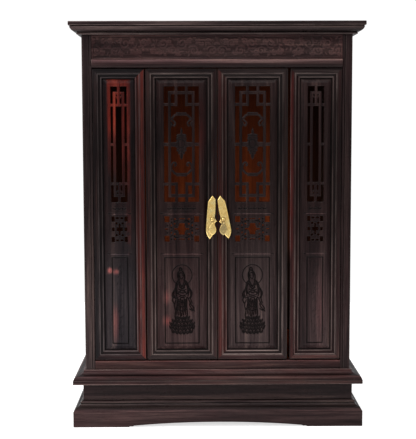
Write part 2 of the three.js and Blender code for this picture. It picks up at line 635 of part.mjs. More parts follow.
addPosts();
const friezeLeft = -POST_INNER + HAIRLINE;
const frieze = slab(friezeLeft, -friezeLeft, FRONT + 0.9, FRONT + RAIL_DEPTH, FRIEZE_FOOT,
  CROWN_FOOT - HAIRLINE);
add('frieze_board', frieze);
add('head_rail', headRail(socketXs));
add('bottom_rail', bottomRail(socketXs));
addSideWall('left_side', -1);
addSideWall('right_side', 1);
add('floor_board', slab(friezeLeft, -friezeLeft, FRONT + RAIL_DEPTH + HAIRLINE, BACK - PANEL_BOARD - 1.6,
  BODY_FOOT + HAIRLINE, LEAF_FOOT - 2.4), INNER_WOOD);
add('back_board', slab(friezeLeft, -friezeLeft, BACK - PANEL_BOARD - 1.5, BACK - 1.5,
  BODY_FOOT + HAIRLINE, CROWN_FOOT - HAIRLINE), INNER_WOOD);

addLeaf('left_light', -lightInner, leftLightRight + lightInner, LIGHT_WINDOW_WIDTH, lightFret(),
  { wood: RED_ROSEWOOD });
addLeaf('left_door', leftDoorLeft, LEFT_DOOR_WIDTH, DOOR_WINDOW_WIDTH, doorFret(),
  { pivotX: PIVOT_INSET, pinX: leftPinX - leftDoorLeft });
addLeaf('right_door', rightDoorLeft, RIGHT_DOOR_WIDTH, DOOR_WINDOW_WIDTH, doorFret(),
  { pivotX: RIGHT_DOOR_WIDTH - PIVOT_INSET, pinX: rightPinX - rightDoorLeft });
addLeaf('right_light', rightLightLeft, lightInner - rightLightLeft, LIGHT_WINDOW_WIDTH, lightFret());

addPull('left_pull', -1, leftPinX, 3.5);
addPull('right_pull', 1, rightPinX, 11);

export default cabinet;
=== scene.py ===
"""Looks of a small rosewood altar cabinet, built round its fixed CAD frame.

Lengths inside the functions are millimetres; MM turns them into the frame's metres at the end.
Every board, rail and panel is a piece of its own that rides on its CAD node's body.
"""

import json
import math
import random

import bmesh
import bpy
import numpy as np
from mathutils import Matrix, Vector

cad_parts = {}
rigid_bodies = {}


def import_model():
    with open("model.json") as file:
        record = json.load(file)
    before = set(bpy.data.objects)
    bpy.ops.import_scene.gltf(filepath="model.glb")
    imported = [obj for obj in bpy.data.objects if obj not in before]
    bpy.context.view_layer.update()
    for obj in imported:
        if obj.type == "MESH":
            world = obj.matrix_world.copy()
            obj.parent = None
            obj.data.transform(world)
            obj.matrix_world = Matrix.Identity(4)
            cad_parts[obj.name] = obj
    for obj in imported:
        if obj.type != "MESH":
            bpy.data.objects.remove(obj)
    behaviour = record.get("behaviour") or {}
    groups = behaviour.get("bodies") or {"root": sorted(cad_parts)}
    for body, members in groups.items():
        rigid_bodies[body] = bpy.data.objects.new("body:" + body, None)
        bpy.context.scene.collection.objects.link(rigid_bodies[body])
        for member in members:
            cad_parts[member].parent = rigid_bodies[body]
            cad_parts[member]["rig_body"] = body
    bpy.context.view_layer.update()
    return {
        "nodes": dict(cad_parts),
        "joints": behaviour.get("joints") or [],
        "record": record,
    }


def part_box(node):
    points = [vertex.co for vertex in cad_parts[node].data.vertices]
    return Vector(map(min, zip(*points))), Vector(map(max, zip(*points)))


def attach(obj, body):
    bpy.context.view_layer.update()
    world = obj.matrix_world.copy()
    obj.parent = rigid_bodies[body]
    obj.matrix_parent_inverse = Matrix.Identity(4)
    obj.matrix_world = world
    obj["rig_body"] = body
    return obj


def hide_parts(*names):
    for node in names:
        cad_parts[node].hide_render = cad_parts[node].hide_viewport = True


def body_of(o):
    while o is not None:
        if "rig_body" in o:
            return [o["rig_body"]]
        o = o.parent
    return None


MM = 0.001

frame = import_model()

SLOT_OF = {part["node"]: part["material_slot"] for part in frame["record"]["subparts"]}
LEAVES = ("left_light", "left_door", "right_door", "right_light")


def box_mm(node):
    """Lowest and highest corner of a CAD node, in millimetres."""
    low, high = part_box(node)
    return np.array(low) / MM, np.array(high) / MM


# ------------------------------------------------------------------ camera, stage and lights

CAMERA_PLACE = Vector((-0.0237, -1.4166, 0.3802))
CAMERA_YAW, CAMERA_PITCH, CAMERA_ROLL = (math.radians(a) for a in (0.522, -5.291, -0.150))
CAMERA_LENS = 87.59
SENSOR_WIDTH = 36
FLOOR_RADIUS = 0.85    # metres
SEEN_WHITE = 1.05      # the surroundings as the camera sees them
GIVEN_WHITE = 0.5      # the light that they give


def add_camera():
    ahead = Vector((
        math.sin(CAMERA_YAW) * math.cos(CAMERA_PITCH),
        math.cos(CAMERA_YAW) * math.cos(CAMERA_PITCH),
        math.sin(CAMERA_PITCH),
    ))
    level_right = ahead.cross(Vector((0, 0, 1))).normalized()
    level_up = level_right.cross(ahead)
    right = math.cos(CAMERA_ROLL) * level_right + math.sin(CAMERA_ROLL) * level_up
    up = right.cross(ahead)
    turn = Matrix((right, up, -ahead)).transposed()
    lens = bpy.data.cameras.new("camera")
    lens.lens = CAMERA_LENS
    lens.sensor_width = SENSOR_WIDTH
    lens.clip_start, lens.clip_end = 0.05, 30
    camera = bpy.data.objects.new("camera", lens)
    camera.matrix_world = Matrix.Translation(CAMERA_PLACE) @ turn.to_4x4()
    bpy.context.scene.collection.objects.link(camera)
    bpy.context.scene.camera = camera


def add_softbox(name, place, aim, width, height, power, tint=(1, 1, 1)):
    """A soft rectangular lamp, sized in metres and powered in watts."""
    lamp = bpy.data.lights.new(name, "AREA")
    lamp.shape = "RECTANGLE"
    lamp.size, lamp.size_y = width, height
    lamp.energy = power
    lamp.color = tint
    softbox = bpy.data.objects.new(name, lamp)
    softbox.location = place
    softbox.rotation_mode = "QUATERNION"
    softbox.rotation_quaternion = (Vector(aim) - Vector(place)).to_track_quat("-Z", "Y")
    softbox.visible_camera = False
    bpy.context.scene.collection.objects.link(softbox)


def add_world():
    """White surroundings to look at, with a softer white light coming from them."""
    world = bpy.data.worlds.new("studio")
    bpy.context.scene.world = world
    world.use_nodes = True
    tree = world.node_tree
    tree.nodes.clear()
    seen = tree.nodes.new("ShaderNodeBackground")
    seen.inputs["Color"].default_value = (1, 1, 1, 1)
    seen.inputs["Strength"].default_value = SEEN_WHITE
    lighting = tree.nodes.new("ShaderNodeBackground")
    lighting.inputs["Color"].default_value = (0.98, 0.98, 1, 1)
    lighting.inputs["Strength"].default_value = GIVEN_WHITE
    rays = tree.nodes.new("ShaderNodeLightPath")
    chooser = tree.nodes.new("ShaderNodeMixShader")
    output = tree.nodes.new("ShaderNodeOutputWorld")
    tree.links.new(rays.outputs["Is Camera Ray"], chooser.inputs[0])
    tree.links.new(lighting.outputs[0], chooser.inputs[1])
    tree.links.new(seen.outputs[0], chooser.inputs[2])
    tree.links.new(chooser.outputs[0], output.inputs["Surface"])


def add_floor():
    bm = bmesh.new()
    bmesh.ops.create_circle(bm, cap_ends=True, segments=96, radius=FLOOR_RADIUS)
    mesh = bpy.data.meshes.new("floor")
    bm.to_mesh(mesh)
    bm.free()
    floor = bpy.data.objects.new("floor", mesh)
    bpy.context.scene.collection.objects.link(floor)
    paper, _, shader = new_material("pale_paper")
    shader.inputs["Base Color"].default_value = (0.86, 0.86, 0.86, 1)
    shader.inputs["Roughness"].default_value = 0.9
    shader.inputs["Specular IOR Level"].default_value = 0.1
    shader.inputs["Emission Color"].default_value = (1, 1, 1, 1)
    shader.inputs["Emission Strength"].default_value = 0.65
    mesh.materials.append(paper)


def light_the_studio():
    add_world()
    add_floor()
    add_softbox("overhead", (-0.35, -0.5, 1.75), (0, 0, 0.1), 2.2, 1.6, 27)
    add_softbox("front_left", (-1.5, -2.1, 1.25), (0, 0, 0.25), 0.8, 1.2, 17)
    add_softbox("front_right", (1.6, -2.0, 0.9), (0, 0, 0.25), 0.5, 1.2, 3.5)
    add_softbox("inside", (0, -0.07, 0.2), (0, 0.1, 0.28), 0.14, 0.12, 0.09, (1, 0.78, 0.55))
    view = bpy.context.scene.view_settings
    view.view_transform = "Standard"
    view.look = "None"


# ------------------------------------------------------------------ node helpers for materials


def new_material(name):
    made = bpy.data.materials.new(name)
    made.use_nodes = True
    tree = made.node_tree
    return made, tree, tree.nodes["Principled BSDF"]


def put(tree, socket, value):
    if isinstance(value, bpy.types.NodeSocket):
        tree.links.new(value, socket)
    else:
        socket.default_value = value


def mapped(tree, vector, scale):
    node = tree.nodes.new("ShaderNodeMapping")
    put(tree, node.inputs["Vector"], vector)
    node.inputs["Scale"].default_value = scale
    return node.outputs["Vector"]


def noise(tree, vector, scale=1.0, detail=3.0, roughness=0.55, distortion=0.0):
    node = tree.nodes.new("ShaderNodeTexNoise")
    put(tree, node.inputs["Vector"], vector)
    node.inputs["Scale"].default_value = scale
    node.inputs["Detail"].default_value = detail
    node.inputs["Roughness"].default_value = roughness
    node.inputs["Distortion"].default_value = distortion
    return node.outputs["Fac"]


def ranged(tree, value, low, high, to_low=0.0, to_high=1.0, smooth=False):
    node = tree.nodes.new("ShaderNodeMapRange")
    node.interpolation_type = "SMOOTHSTEP" if smooth else "LINEAR"
    put(tree, node.inputs["Value"], value)
    for socket, number in zip(node.inputs[1:5], (low, high, to_low, to_high)):
        put(tree, socket, number)
    return node.outputs["Result"]


def arithmetic(tree, operation, first, second=0.0, clamp=False):
    node = tree.nodes.new("ShaderNodeMath")
    node.operation = operation
    node.use_clamp = clamp
    put(tree, node.inputs[0], first)
    put(tree, node.inputs[1], second)
    return node.outputs[0]


def blended(tree, factor, first, second):
    node = tree.nodes.new("ShaderNodeMix")
    node.data_type = "RGBA"
    put(tree, node.inputs[0], factor)
    put(tree, node.inputs[6], first)
    put(tree, node.inputs[7], second)
    return node.outputs[2]


def ramp(tree, value, stops):
    node = tree.nodes.new("ShaderNodeValToRGB")
    put(tree, node.inputs["Fac"], value)
    elements = node.color_ramp.elements
    stops = tuple(stops)
    while len(elements) < len(stops):
        elements.new(0.5)
    for element, (position, color) in zip(elements, stops):
        element.position = position
        element.color = (*color, 1)
    return node.outputs["Color"]


def attribute(tree, name, output):
    node = tree.nodes.new("ShaderNodeAttribute")
    node.attribute_name = name
    return node.outputs[output]


def split(tree, vector):
    node = tree.nodes.new("ShaderNodeSeparateXYZ")
    put(tree, node.inputs[0], vector)
    return node.outputs


def bumped(tree, height, distance, strength=1.0, normal=None):
    node = tree.nodes.new("ShaderNodeBump")
    put(tree, node.inputs["Height"], height)
    node.inputs["Distance"].default_value = distance
    node.inputs["Strength"].default_value = strength
    if normal is not None:
        put(tree, node.inputs["Normal"], normal)
    return node.outputs["Normal"]


# ------------------------------------------------------------------ materials

# The "grain" attribute holds each board's own coordinates in metres, first along the grain.
# The "finish" attribute holds (redness, lightness, painted shade) on wood and (tarnish and a
# painted dark reflection, unused, painted shade) on brass. Its lightness row also carries painted light and
# highlights.
# "edge_wear" is 1 on the worn facets of outer edges, which also get a painted sheen, and -1 on the
# facets of inner corners, which get painted shade with some wax and dust.


def rosewood(name, tones, red_tones, worn_sheen_tone, roughness, gloss):
    """Dark straight-grained wood: growth bands, fine streaks and pores, worn edges with a painted sheen,
    painted shade in recesses.
    """
    made, tree, shader = new_material(name)
    grain = attribute(tree, "grain", "Vector")
    redness, lightness, recess_shade = split(tree, attribute(tree, "finish", "Vector"))
    bands = noise(tree, mapped(tree, grain, (3.5, 75, 75)), detail=3, distortion=0.7)
    streaks = noise(tree, mapped(tree, grain, (16, 620, 620)), detail=5, roughness=0.62)
    pores = noise(tree, mapped(tree, grain, (170, 3400, 3400)), detail=1)
    clouds = noise(tree, grain, scale=22, detail=3, roughness=0.6)

    figure = arithmetic(tree, "ADD", arithmetic(tree, "MULTIPLY", bands, 0.58),
                        arithmetic(tree, "MULTIPLY", streaks, 0.42))
    brown = ramp(tree, figure, zip((0.34, 0.48, 0.58, 0.68), tones))
    red = ramp(tree, figure, zip((0.36, 0.5, 0.66), red_tones))
    red_share = arithmetic(tree, "MULTIPLY", redness, ranged(tree, clouds, 0.3, 0.62, 0.45, 1.0), True)
    color = blended(tree, red_share, brown, red)
    color = blended(tree, ranged(tree, pores, 0.6, 0.7, 0.0, 0.55), color, (0.002, 0.0012, 0.001, 1))

    patches = noise(tree, mapped(tree, grain, (26, 190, 190)), detail=4, roughness=0.6)
    # Worn outer edges take a paler tone that is partly wear and partly a painted sheen.
    edge = attribute(tree, "edge_wear", "Fac")
    wear = arithmetic(tree, "MULTIPLY", edge, ranged(tree, patches, 0.35, 0.68, 0.15, 0.75), True)
    color = blended(tree, wear, color, (*worn_sheen_tone, 1))
    # Recesses and inner corners are darkened towards black: painted shade, with some dust.
    dust_and_shade = arithmetic(tree, "MAXIMUM", recess_shade, arithmetic(tree, "MULTIPLY", edge, -1))
    color = blended(tree, arithmetic(tree, "MULTIPLY", dust_and_shade, 0.9, True), color,
                    (0.0016, 0.0010, 0.0010, 1))
    tinted = tree.nodes.new("ShaderNodeVectorMath")
    tinted.operation = "SCALE"
    put(tree, tinted.inputs[0], color)
    put(tree, tinted.inputs["Scale"], lightness)
    put(tree, shader.inputs["Base Color"], tinted.outputs[0])

    wax = noise(tree, grain, scale=34, detail=4, roughness=0.65)
    sheen = ranged(tree, wax, 0.3, 0.7, roughness - 0.07, roughness + 0.1)
    sheen = arithmetic(tree, "ADD", sheen, arithmetic(tree, "MULTIPLY", dust_and_shade, 0.3))
    sheen = arithmetic(tree, "SUBTRACT", sheen, arithmetic(tree, "MULTIPLY", wear, 0.1))
    put(tree, shader.inputs["Roughness"], sheen)
    shader.inputs["Specular IOR Level"].default_value = gloss
    relief = arithmetic(tree, "ADD", arithmetic(tree, "MULTIPLY", streaks, 0.5),
                        ranged(tree, pores, 0.58, 0.72, 0.0, -0.6))
    normal = bumped(tree, relief, 0.00012)
    normal = bumped(tree, noise(tree, grain, scale=60, detail=2), 0.0009, 0.35, normal)
    put(tree, shader.inputs["Normal"], normal)
    return made


def brushed_brass():
    """Satin brass, brushed lengthwise, dulled by tarnish and by a painted dark reflection, and browner with
    painted shade in the hollows.
    """
    made, tree, shader = new_material("brushed_brass")
    grain = attribute(tree, "grain", "Vector")
    tarnish_and_dark_reflection, _, recess_shade = split(tree, attribute(tree, "finish", "Vector"))
    scratches = noise(tree, mapped(tree, grain, (60, 2600, 2600)), detail=4, roughness=0.6)
    tarnish = noise(tree, grain, scale=210, detail=4, roughness=0.6)
    color = ramp(tree, tarnish, ((0.35, (0.76, 0.48, 0.14)), (0.5, (0.95, 0.66, 0.22)),
                                 (0.68, (1.0, 0.80, 0.36))))
    color = blended(tree, ranged(tree, scratches, 0.35, 0.65, 0.0, 0.4), color, (1.0, 0.80, 0.36, 1))
    # Tarnish, and on the right drop a painted dark reflection, dull the colour.
    color = blended(tree, tarnish_and_dark_reflection, color, (0.36, 0.27, 0.13, 1))
    # Painted shade browns the brass behind its rim and round the pin's eye.
    color = blended(tree, arithmetic(tree, "MULTIPLY", recess_shade, 0.8, True), color,
                    (0.16, 0.085, 0.03, 1))
    put(tree, shader.inputs["Base Color"], color)
    shader.inputs["Metallic"].default_value = 1.0
    rough = ranged(tree, tarnish, 0.3, 0.7, 0.36, 0.24)
    put(tree, shader.inputs["Roughness"], arithmetic(tree, "ADD", rough,
                                                     arithmetic(tree, "MULTIPLY", recess_shade, 0.25)))
    normal = bumped(tree, scratches, 0.00006)
    normal = bumped(tree, tarnish, 0.0004, 0.3, normal)
    put(tree, shader.inputs["Normal"], normal)
    return made


# Each wood's brown tones from its darkest band to its lightest, its red ones, the tone of its worn edges
# with their painted sheen, its roughness and its gloss.
MATERIALS = {
    "dark_rosewood": rosewood(
        "dark_rosewood",
        ((0.0056, 0.0030, 0.0032), (0.0172, 0.0100, 0.0102),
         (0.0370, 0.0240, 0.0228), (0.0780, 0.0500, 0.0430)),
        ((0.0380, 0.0050, 0.0045), (0.1120, 0.0150, 0.0120), (0.2400, 0.0400, 0.0250)),
        (0.1500, 0.1100, 0.1000), 0.3, 0.09),
    "red_rosewood": rosewood(
        "red_rosewood",
        ((0.0046, 0.0036, 0.0048), (0.0138, 0.0104, 0.0120),
         (0.0290, 0.0215, 0.0222), (0.0600, 0.0400, 0.0370)),
        ((0.0700, 0.0070, 0.0055), (0.2000, 0.0230, 0.0140), (0.4200, 0.0620, 0.0320)),
        (0.1400, 0.1080, 0.1060), 0.3, 0.09),
    "inner_rosewood": rosewood(
        "inner_rosewood",
        ((0.1200, 0.0190, 0.0040), (0.2100, 0.0400, 0.0090),
         (0.3000, 0.0640, 0.0160), (0.4000, 0.1000, 0.0300)),
        ((0.0400, 0.0080, 0.0040), (0.0900, 0.0180, 0.0090), (0.1500, 0.0340, 0.0160)),
        (0.3000, 0.1300, 0.0700), 0.6, 0.2),
    "brass": brushed_brass(),
}


# ------------------------------------------------------------------ finishing a piece

GRAIN_ORDER = {"x": (0, 1, 2), "y": (1, 0, 2), "z": (2, 0, 1)}
NARROW = 0.45          # facets this narrow get wear and a painted sheen on outer edges, painted shade in inner corners
BEND = 0.2             # radians: the least bend that counts as an edge
CUT_SPACING = 20       # between the cuts across a long piece
GRAIN_SLANT = 0.8      # degrees: the most that a board's grain runs off its length
HARD_EDGE = math.radians(40)


def mark_edges(bm):
    """Sets edge_wear: 1 (wear, painted sheen) on narrow outer-edge facets, -1 (painted shade) in inner
    corners.
    """
    layer = bm.faces.layers.float.new("edge_wear")
    for edge in bm.edges:
        angle = edge.calc_face_angle_signed(0) if edge.is_manifold else 0
        if abs(angle) < BEND:
            continue
        for face in edge.link_faces:
            around = sum(side.calc_length() for side in face.edges)
            if around > 0 and 2 * face.calc_area() / around < NARROW and face[layer] != -1:
                face[layer] = 1 if angle > 0 else -1


def cut_along(bm, axis):
    """Cuts a long piece across its length, so that its tone can change along it."""
    across = Vector([float(name == axis) for name in "xyz"])
    reach = [vert.co.dot(across) for vert in bm.verts]
    start, end = min(reach), max(reach)
    count = int((end - start) / CUT_SPACING)
    for step in range(1, count):
        place = across * (start + (end - start) * step / count)
        everything = bm.verts[:] + bm.edges[:] + bm.faces[:]
        bmesh.ops.bisect_plane(bm, geom=everything, plane_co=place, plane_no=across, dist=0.001)


def finish_piece(node, bm, axis="z", redness=0.0, lightness=1.0, paint=None, smooth_angle=38,
                 worn_lit_shaded_edges=True):
    """Turns a millimetre bmesh into the piece that stands for a CAD node.

    The grain runs along the axis. The paint changes the rows of the verts' colour, painted light and
    painted shade.
    """
    bmesh.ops.remove_doubles(bm, verts=bm.verts, dist=0.004)
    bmesh.ops.recalc_face_normals(bm, faces=bm.faces)
    if worn_lit_shaded_edges:
        mark_edges(bm)
    slot = SLOT_OF[node]
    name = f"{node}_brass" if slot == "brass" else f"{node}_wood"
    mesh = bpy.data.meshes.new(name)
    bm.to_mesh(mesh)
    bm.free()

    place = np.zeros(len(mesh.vertices) * 3)
    mesh.vertices.foreach_get("co", place)
    place = place.reshape(-1, 3)
    finish = np.zeros_like(place)
    finish[:, 0] = redness
    finish[:, 1] = lightness
    if paint:
        paint(place, finish)
    chance = random.Random(node)
    grain = place[:, GRAIN_ORDER[axis]] * MM
    grain[:, 1] += grain[:, 0] * math.tan(math.radians(chance.uniform(-GRAIN_SLANT, GRAIN_SLANT)))
    grain += np.array([chance.uniform(0, 3) for _ in range(3)])
    for label, values in (("grain", grain), ("finish", finish)):
        made = mesh.attributes.new(label, "FLOAT_VECTOR", "POINT")
        made.data.foreach_set("vector", values.ravel())
    mesh.vertices.foreach_set("co", (place * MM).ravel())
    mesh.update()
    mesh.shade_smooth()
    mesh.set_sharp_from_angle(angle=math.radians(smooth_angle))
    mesh.materials.append(MATERIALS[slot])

    piece = bpy.data.objects.new(name, mesh)
    bpy.context.scene.collection.objects.link(piece)
    even = piece.modifiers.new("even_normals", "WEIGHTED_NORMAL")
    even.keep_sharp = True
    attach(piece, body_of(frame["nodes"][node])[0])
    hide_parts(node)


def worn_copy(node, ease=0.35):
    """A copy of a CAD node's mesh, in millimetres, with its hard edges eased."""
    bm = bmesh.new()
    bm.from_mesh(frame["nodes"][node].data)
    bmesh.ops.scale(bm, vec=(1 / MM,) * 3, verts=bm.verts)
    bmesh.ops.remove_doubles(bm, verts=bm.verts, dist=0.01)
    bmesh.ops.recalc_face_normals(bm, faces=bm.faces)
    bmesh.ops.dissolve_limit(bm, angle_limit=math.radians(0.6), verts=bm.verts, edges=bm.edges)
    hard = [e for e in bm.edges if e.is_manifold and e.calc_face_angle(0) > HARD_EDGE]
    bmesh.ops.bevel(bm, geom=hard, offset=ease, offset_type="OFFSET", segments=2, profile=0.5,
                    affect="EDGES", clamp_overlap=True, material=-1)
    return bm


# ------------------------------------------------------------------ distances on a board's face


def near_box(x, z, left, right, bottom, top):
    across = np.maximum(left - x, x - right)
    up = np.maximum(bottom - z, z - top)
    outside = np.hypot(np.maximum(across, 0), np.maximum(up, 0))
    return outside + np.minimum(np.maximum(across, up), 0)


def near_oval(x, z, middle_x, middle_z, half_x, half_z):
    x, z = x - middle_x, z - middle_z
    share = np.hypot(x / half_x, z / half_z)
    slope = np.hypot(x / half_x**2, z / half_z**2)
    return share * (share - 1) / np.maximum(slope, 1e-6)


def near_line(x, z, points):
    best = np.full(np.shape(x), 1e9)
    for (start_x, start_z), (end_x, end_z) in zip(points, points[1:]):
        run_x, run_z = end_x - start_x, end_z - start_z
        length = max(run_x**2 + run_z**2, 1e-9)
        share = np.clip(((x - start_x) * run_x + (z - start_z) * run_z) / length, 0, 1)
        best = np.minimum(best, np.hypot(x - start_x - share * run_x, z - start_z - share * run_z))
    return best


def near_shape(x, z, points):
    """Distance to a closed outline, negative inside it."""
    closed = [*points, points[0]]
    inside = np.zeros(np.shape(x), bool)
    for (start_x, start_z), (end_x, end_z) in zip(closed, closed[1:]):
        if start_z == end_z:
            continue
        crossing = (start_z > z) != (end_z > z)
        edge_x = start_x + (z - start_z) / (end_z - start_z) * (end_x - start_x)
        inside ^= crossing & (x < edge_x)
    return np.where(inside, -1, 1) * near_line(x, z, closed)


def curve(points, steps=6):
    """A smooth line through a few points."""
    knots = [points[0], *points, points[-1]]
    line = []
    for before, start, end, after in zip(knots, knots[1:], knots[2:], knots[3:]):
        for step in range(steps):
            t = step / steps
            line.append(tuple(
                0.5 * (2 * q + (r - p) * t + (2 * p - 5 * q + 4 * r - s) * t**2
                       + (3 * q - p - 3 * r + s) * t**3)
                for p, q, r, s in zip(before, start, end, after)
            ))
    return [*line, points[-1]]


def groove(distance, half_width, depth):
    """A V cut with a soft bottom along a line, as a depth."""
    return depth * np.clip(1 - np.abs(distance) / half_width, 0, 1) ** 0.8


def ridge(distance, half_width, height):
    """A round rib along a line, as a height."""
    return height * np.sqrt(np.clip(1 - (np.abs(distance) / half_width) ** 2, 0, 1))


# ------------------------------------------------------------------ carved boards

BLOCK = 8              # grid lines between the ones that stay when flat ground is simplified


def grid_lines(*stretches):
    """Even lines over each stretch (from, to, spacing), joined end to end."""
    lines = [stretches[0][0]]
    for start, end, spacing in stretches:
        count = max(1, round((end - start) / spacing))
        lines += [start + (end - start) * (i + 1) / count for i in range(count)]
    return lines


def carved_board(columns, rows, back, depth, opening=None):
    """A board facing -Y on the given grid lines: its face lies at y = depth(x, z), its back at y = back.

    It is pierced where opening(x, z) is negative, and the rims are drawn onto the openings' outlines.
    """
    bm = bmesh.new()
    bmesh.ops.create_grid(bm, x_segments=len(columns) - 1, y_segments=len(rows) - 1, size=1)
    column_of = bm.verts.layers.int.new("column")
    row_of = bm.verts.layers.int.new("row")
    for vert in bm.verts:
        vert[column_of] = round((vert.co.x + 1) / 2 * (len(columns) - 1))
        vert[row_of] = round((vert.co.y + 1) / 2 * (len(rows) - 1))
        vert.co = (columns[vert[column_of]], 0, rows[vert[row_of]])
    if opening:
        middles = np.array([face.calc_center_median() for face in bm.faces])
        gone = [f for f, d in zip(bm.faces, opening(middles[:, 0], middles[:, 2])) if d < 0]
        bmesh.ops.delete(bm, geom=gone, context="FACES")
        draw_to_outline(bm, columns, rows, column_of, row_of, opening)
    for edge in bm.edges:
        for layer in (column_of, row_of):
            first, second = (vert[layer] for vert in edge.verts)
            if first == second and first % BLOCK == 0:
                edge.seam = True
    front = list(bm.verts)
    grown = bmesh.ops.extrude_face_region(bm, geom=bm.faces[:], use_keep_orig=True)
    for vert in grown["geom"]:
        if isinstance(vert, bmesh.types.BMVert):
            vert.co.y = back
    places = np.array([vert.co for vert in front])
    for vert, y in zip(front, depth(places[:, 0], places[:, 2])):
        vert.co.y = y
    bmesh.ops.dissolve_limit(bm, angle_limit=math.radians(1), verts=bm.verts, edges=bm.edges,
                             delimit={"SEAM"})
    for edge in bm.edges:
        edge.seam = False
    bm.verts.layers.int.remove(bm.verts.layers.int["column"])
    bm.verts.layers.int.remove(bm.verts.layers.int["row"])
    return bm


def draw_to_outline(bm, columns, rows, column_of, row_of, opening):
    """Slides the verts on an opening's rim onto its true outline."""
    rim = [v for v in bm.verts if v.is_boundary
           and 0 < v[column_of] < len(columns) - 1 and 0 < v[row_of] < len(rows) - 1]
    if not rim:
        return
    places = np.array([vert.co for vert in rim])
    x, z = places[:, 0], places[:, 2]
    nudge = 0.02
    for _ in range(3):
        gap = opening(x, z)
        slope_x = (opening(x + nudge, z) - opening(x - nudge, z)) / (2 * nudge)
        slope_z = (opening(x, z + nudge) - opening(x, z - nudge)) / (2 * nudge)
        steep = np.maximum(slope_x**2 + slope_z**2, 0.25)
        move = np.clip(gap / steep, -0.35, 0.35)
        x, z = x - move * slope_x, z - move * slope_z
    for vert, new_x, new_z in zip(rim, x, z):
        vert.co.x, vert.co.z = new_x, new_z


# ------------------------------------------------------------------ fretwork and small openwork

UPPER_WINDOW = {"centre": 351, "half_height": 71.2}
LOWER_WINDOW = {"centre": 246.1, "half_height": 16.1}
DOOR_WINDOW_HALF = 21.5
LIGHT_WINDOW_HALF = 10
FIELD_DEPTH = 2.0      # the panel's flat field, behind the leaf's face
BAR_DEPTH = 2.5        # the fretwork's face
PANEL_EDGE = 9.7       # the panel's hidden edge, inwards from the leaf's outer edge
PANEL_FOOT = 12.6      # where the panel's slope starts, at the frame's inner edge
FIELD_EDGE = 17.2      # where the slope ends
PANEL_THICKNESS = 7.9
GROOVES = (265.9, 215.6)
BORDER_FOOT = 102.5
BORDER_TOP = GROOVES[1] - 5
LOTUS_HEIGHT = 112
CARVING_GRID = 0.5     # spacing of the grid lines where there is carving
SLOPE_GRID = 0.8
PLAIN_GRID = 1.2
HIDDEN_GRID = 3


def door_fret(x, z):
    """Distance to the bars and ornaments of a door's fretwork, about the window's middle."""
    above = z > 0
    tall = z
    x, z = np.abs(x), np.abs(z)
    ring = np.maximum(near_box(x, z, -16.4, 16.4, -65.3, 65.3),
                      -near_box(x, z, -12.9, 12.9, -61.5, 61.5))
    shoulder = curve([(5.6, 36.6), (8.4, 35.6), (10.6, 33), (13.6, 31)])
    leaf_curl = curve([(12.6, 31), (9.7, 29.2), (7.5, 26), (8.8, 22.9)])
    side_leaf = curve([(13.6, 28.2), (11.6, 25.6), (12.6, 22.6)])
    hook = curve([(12.8, 31), (12.2, 26.4), (10.4, 22.9), (7.7, 22.8), (6.7, 25.2), (8.2, 26.2)])
    upper_curls = np.minimum.reduce([
        near_line(x, z, leaf_curl) - 1.1,
        near_line(x, z, side_leaf) - 0.9,
        near_oval(x, z, 9, 23.4, 1.7, 1.5),
    ])
    lower_curls = near_line(x, z, hook) - 1.15
    flower = [(0, 21.2), (1.2, 18), (1.6, 15.6), (1.3, 13.4), (4.4, 12.6), (6.6, 11.6), (5.4, 9.4),
              (7, 7.2), (5.6, 5), (7.2, 2.6), (6, 0), (7.2, -3), (5.6, -5.2), (6.4, -7.8), (3.8, -9.2),
              (4.2, -11.6), (2.2, -12.6), (2.3, -15.4), (0, -19.2), (-2, -12), (-2, 12)]
    return np.minimum.reduce([
        ring,
        near_box(x, z, 4.6, 8.1, 64.3, 73),
        near_box(x, z, 4.6, 8.1, 47, 62.3),
        near_box(x, z, 4.6, 23, 47.3, 50.7),
        near_box(x, z, 13.7, 23, -2, 2),
        near_box(x, z, 6, 13.7, -2.8, 2.8),
        near_box(x, z, -1, 6.3, 35.7, 39.1) - 0.3,
        near_line(x, z, shoulder) - 1.35,
        np.where(above, upper_curls, lower_curls),
        near_shape(x, tall, flower),
    ])


def flower_veins(x, z):
    """Carving on the flower of the fretwork: a round heart, a lip over it and veins down its petals."""
    near = (x < 7) & (np.abs(z) < 20)
    cut = groove(near_oval(x, z, 0, 1, 4.1, 5.2), 0.6, 0.8)
    for start, end in (((0, 17), (0, 14)), ((0, 10.8), (5.4, 10.4)), ((2.2, 8.4), (5.6, 7.4)),
                       ((4.8, 4), (6.4, 4.6)), ((4.8, -1), (6.4, -1.6)), ((2.4, -5.4), (5.2, -6.6)),
                       ((0.6, -8), (3.2, -10)), ((0, -11), (0, -17))):
        cut = np.maximum(cut, groove(near_line(x, z, [start, end]), 0.6, 0.7))
    return cut * near


def light_fret(x, z):
    """Distance to the bars of a side light's fretwork, about the window's middle."""
    x, z = np.abs(x), np.abs(z)
    strut = curve([(5, 61.5), (2.6, 58), (0, 56)])
    return np.minimum.reduce([
        near_box(x, z, 0, 7, 61.3, 64.6),
        near_box(x, z, 0, 11, 46.8, 50),
        near_box(x, z, -1, 1.7, 49, 73),
        near_box(x, z, 3.7, 7, 0, 64.6),
        near_box(x, z, 5, 11, -1.6, 1.6),
        near_line(x, z, strut) - 0.8,
    ])


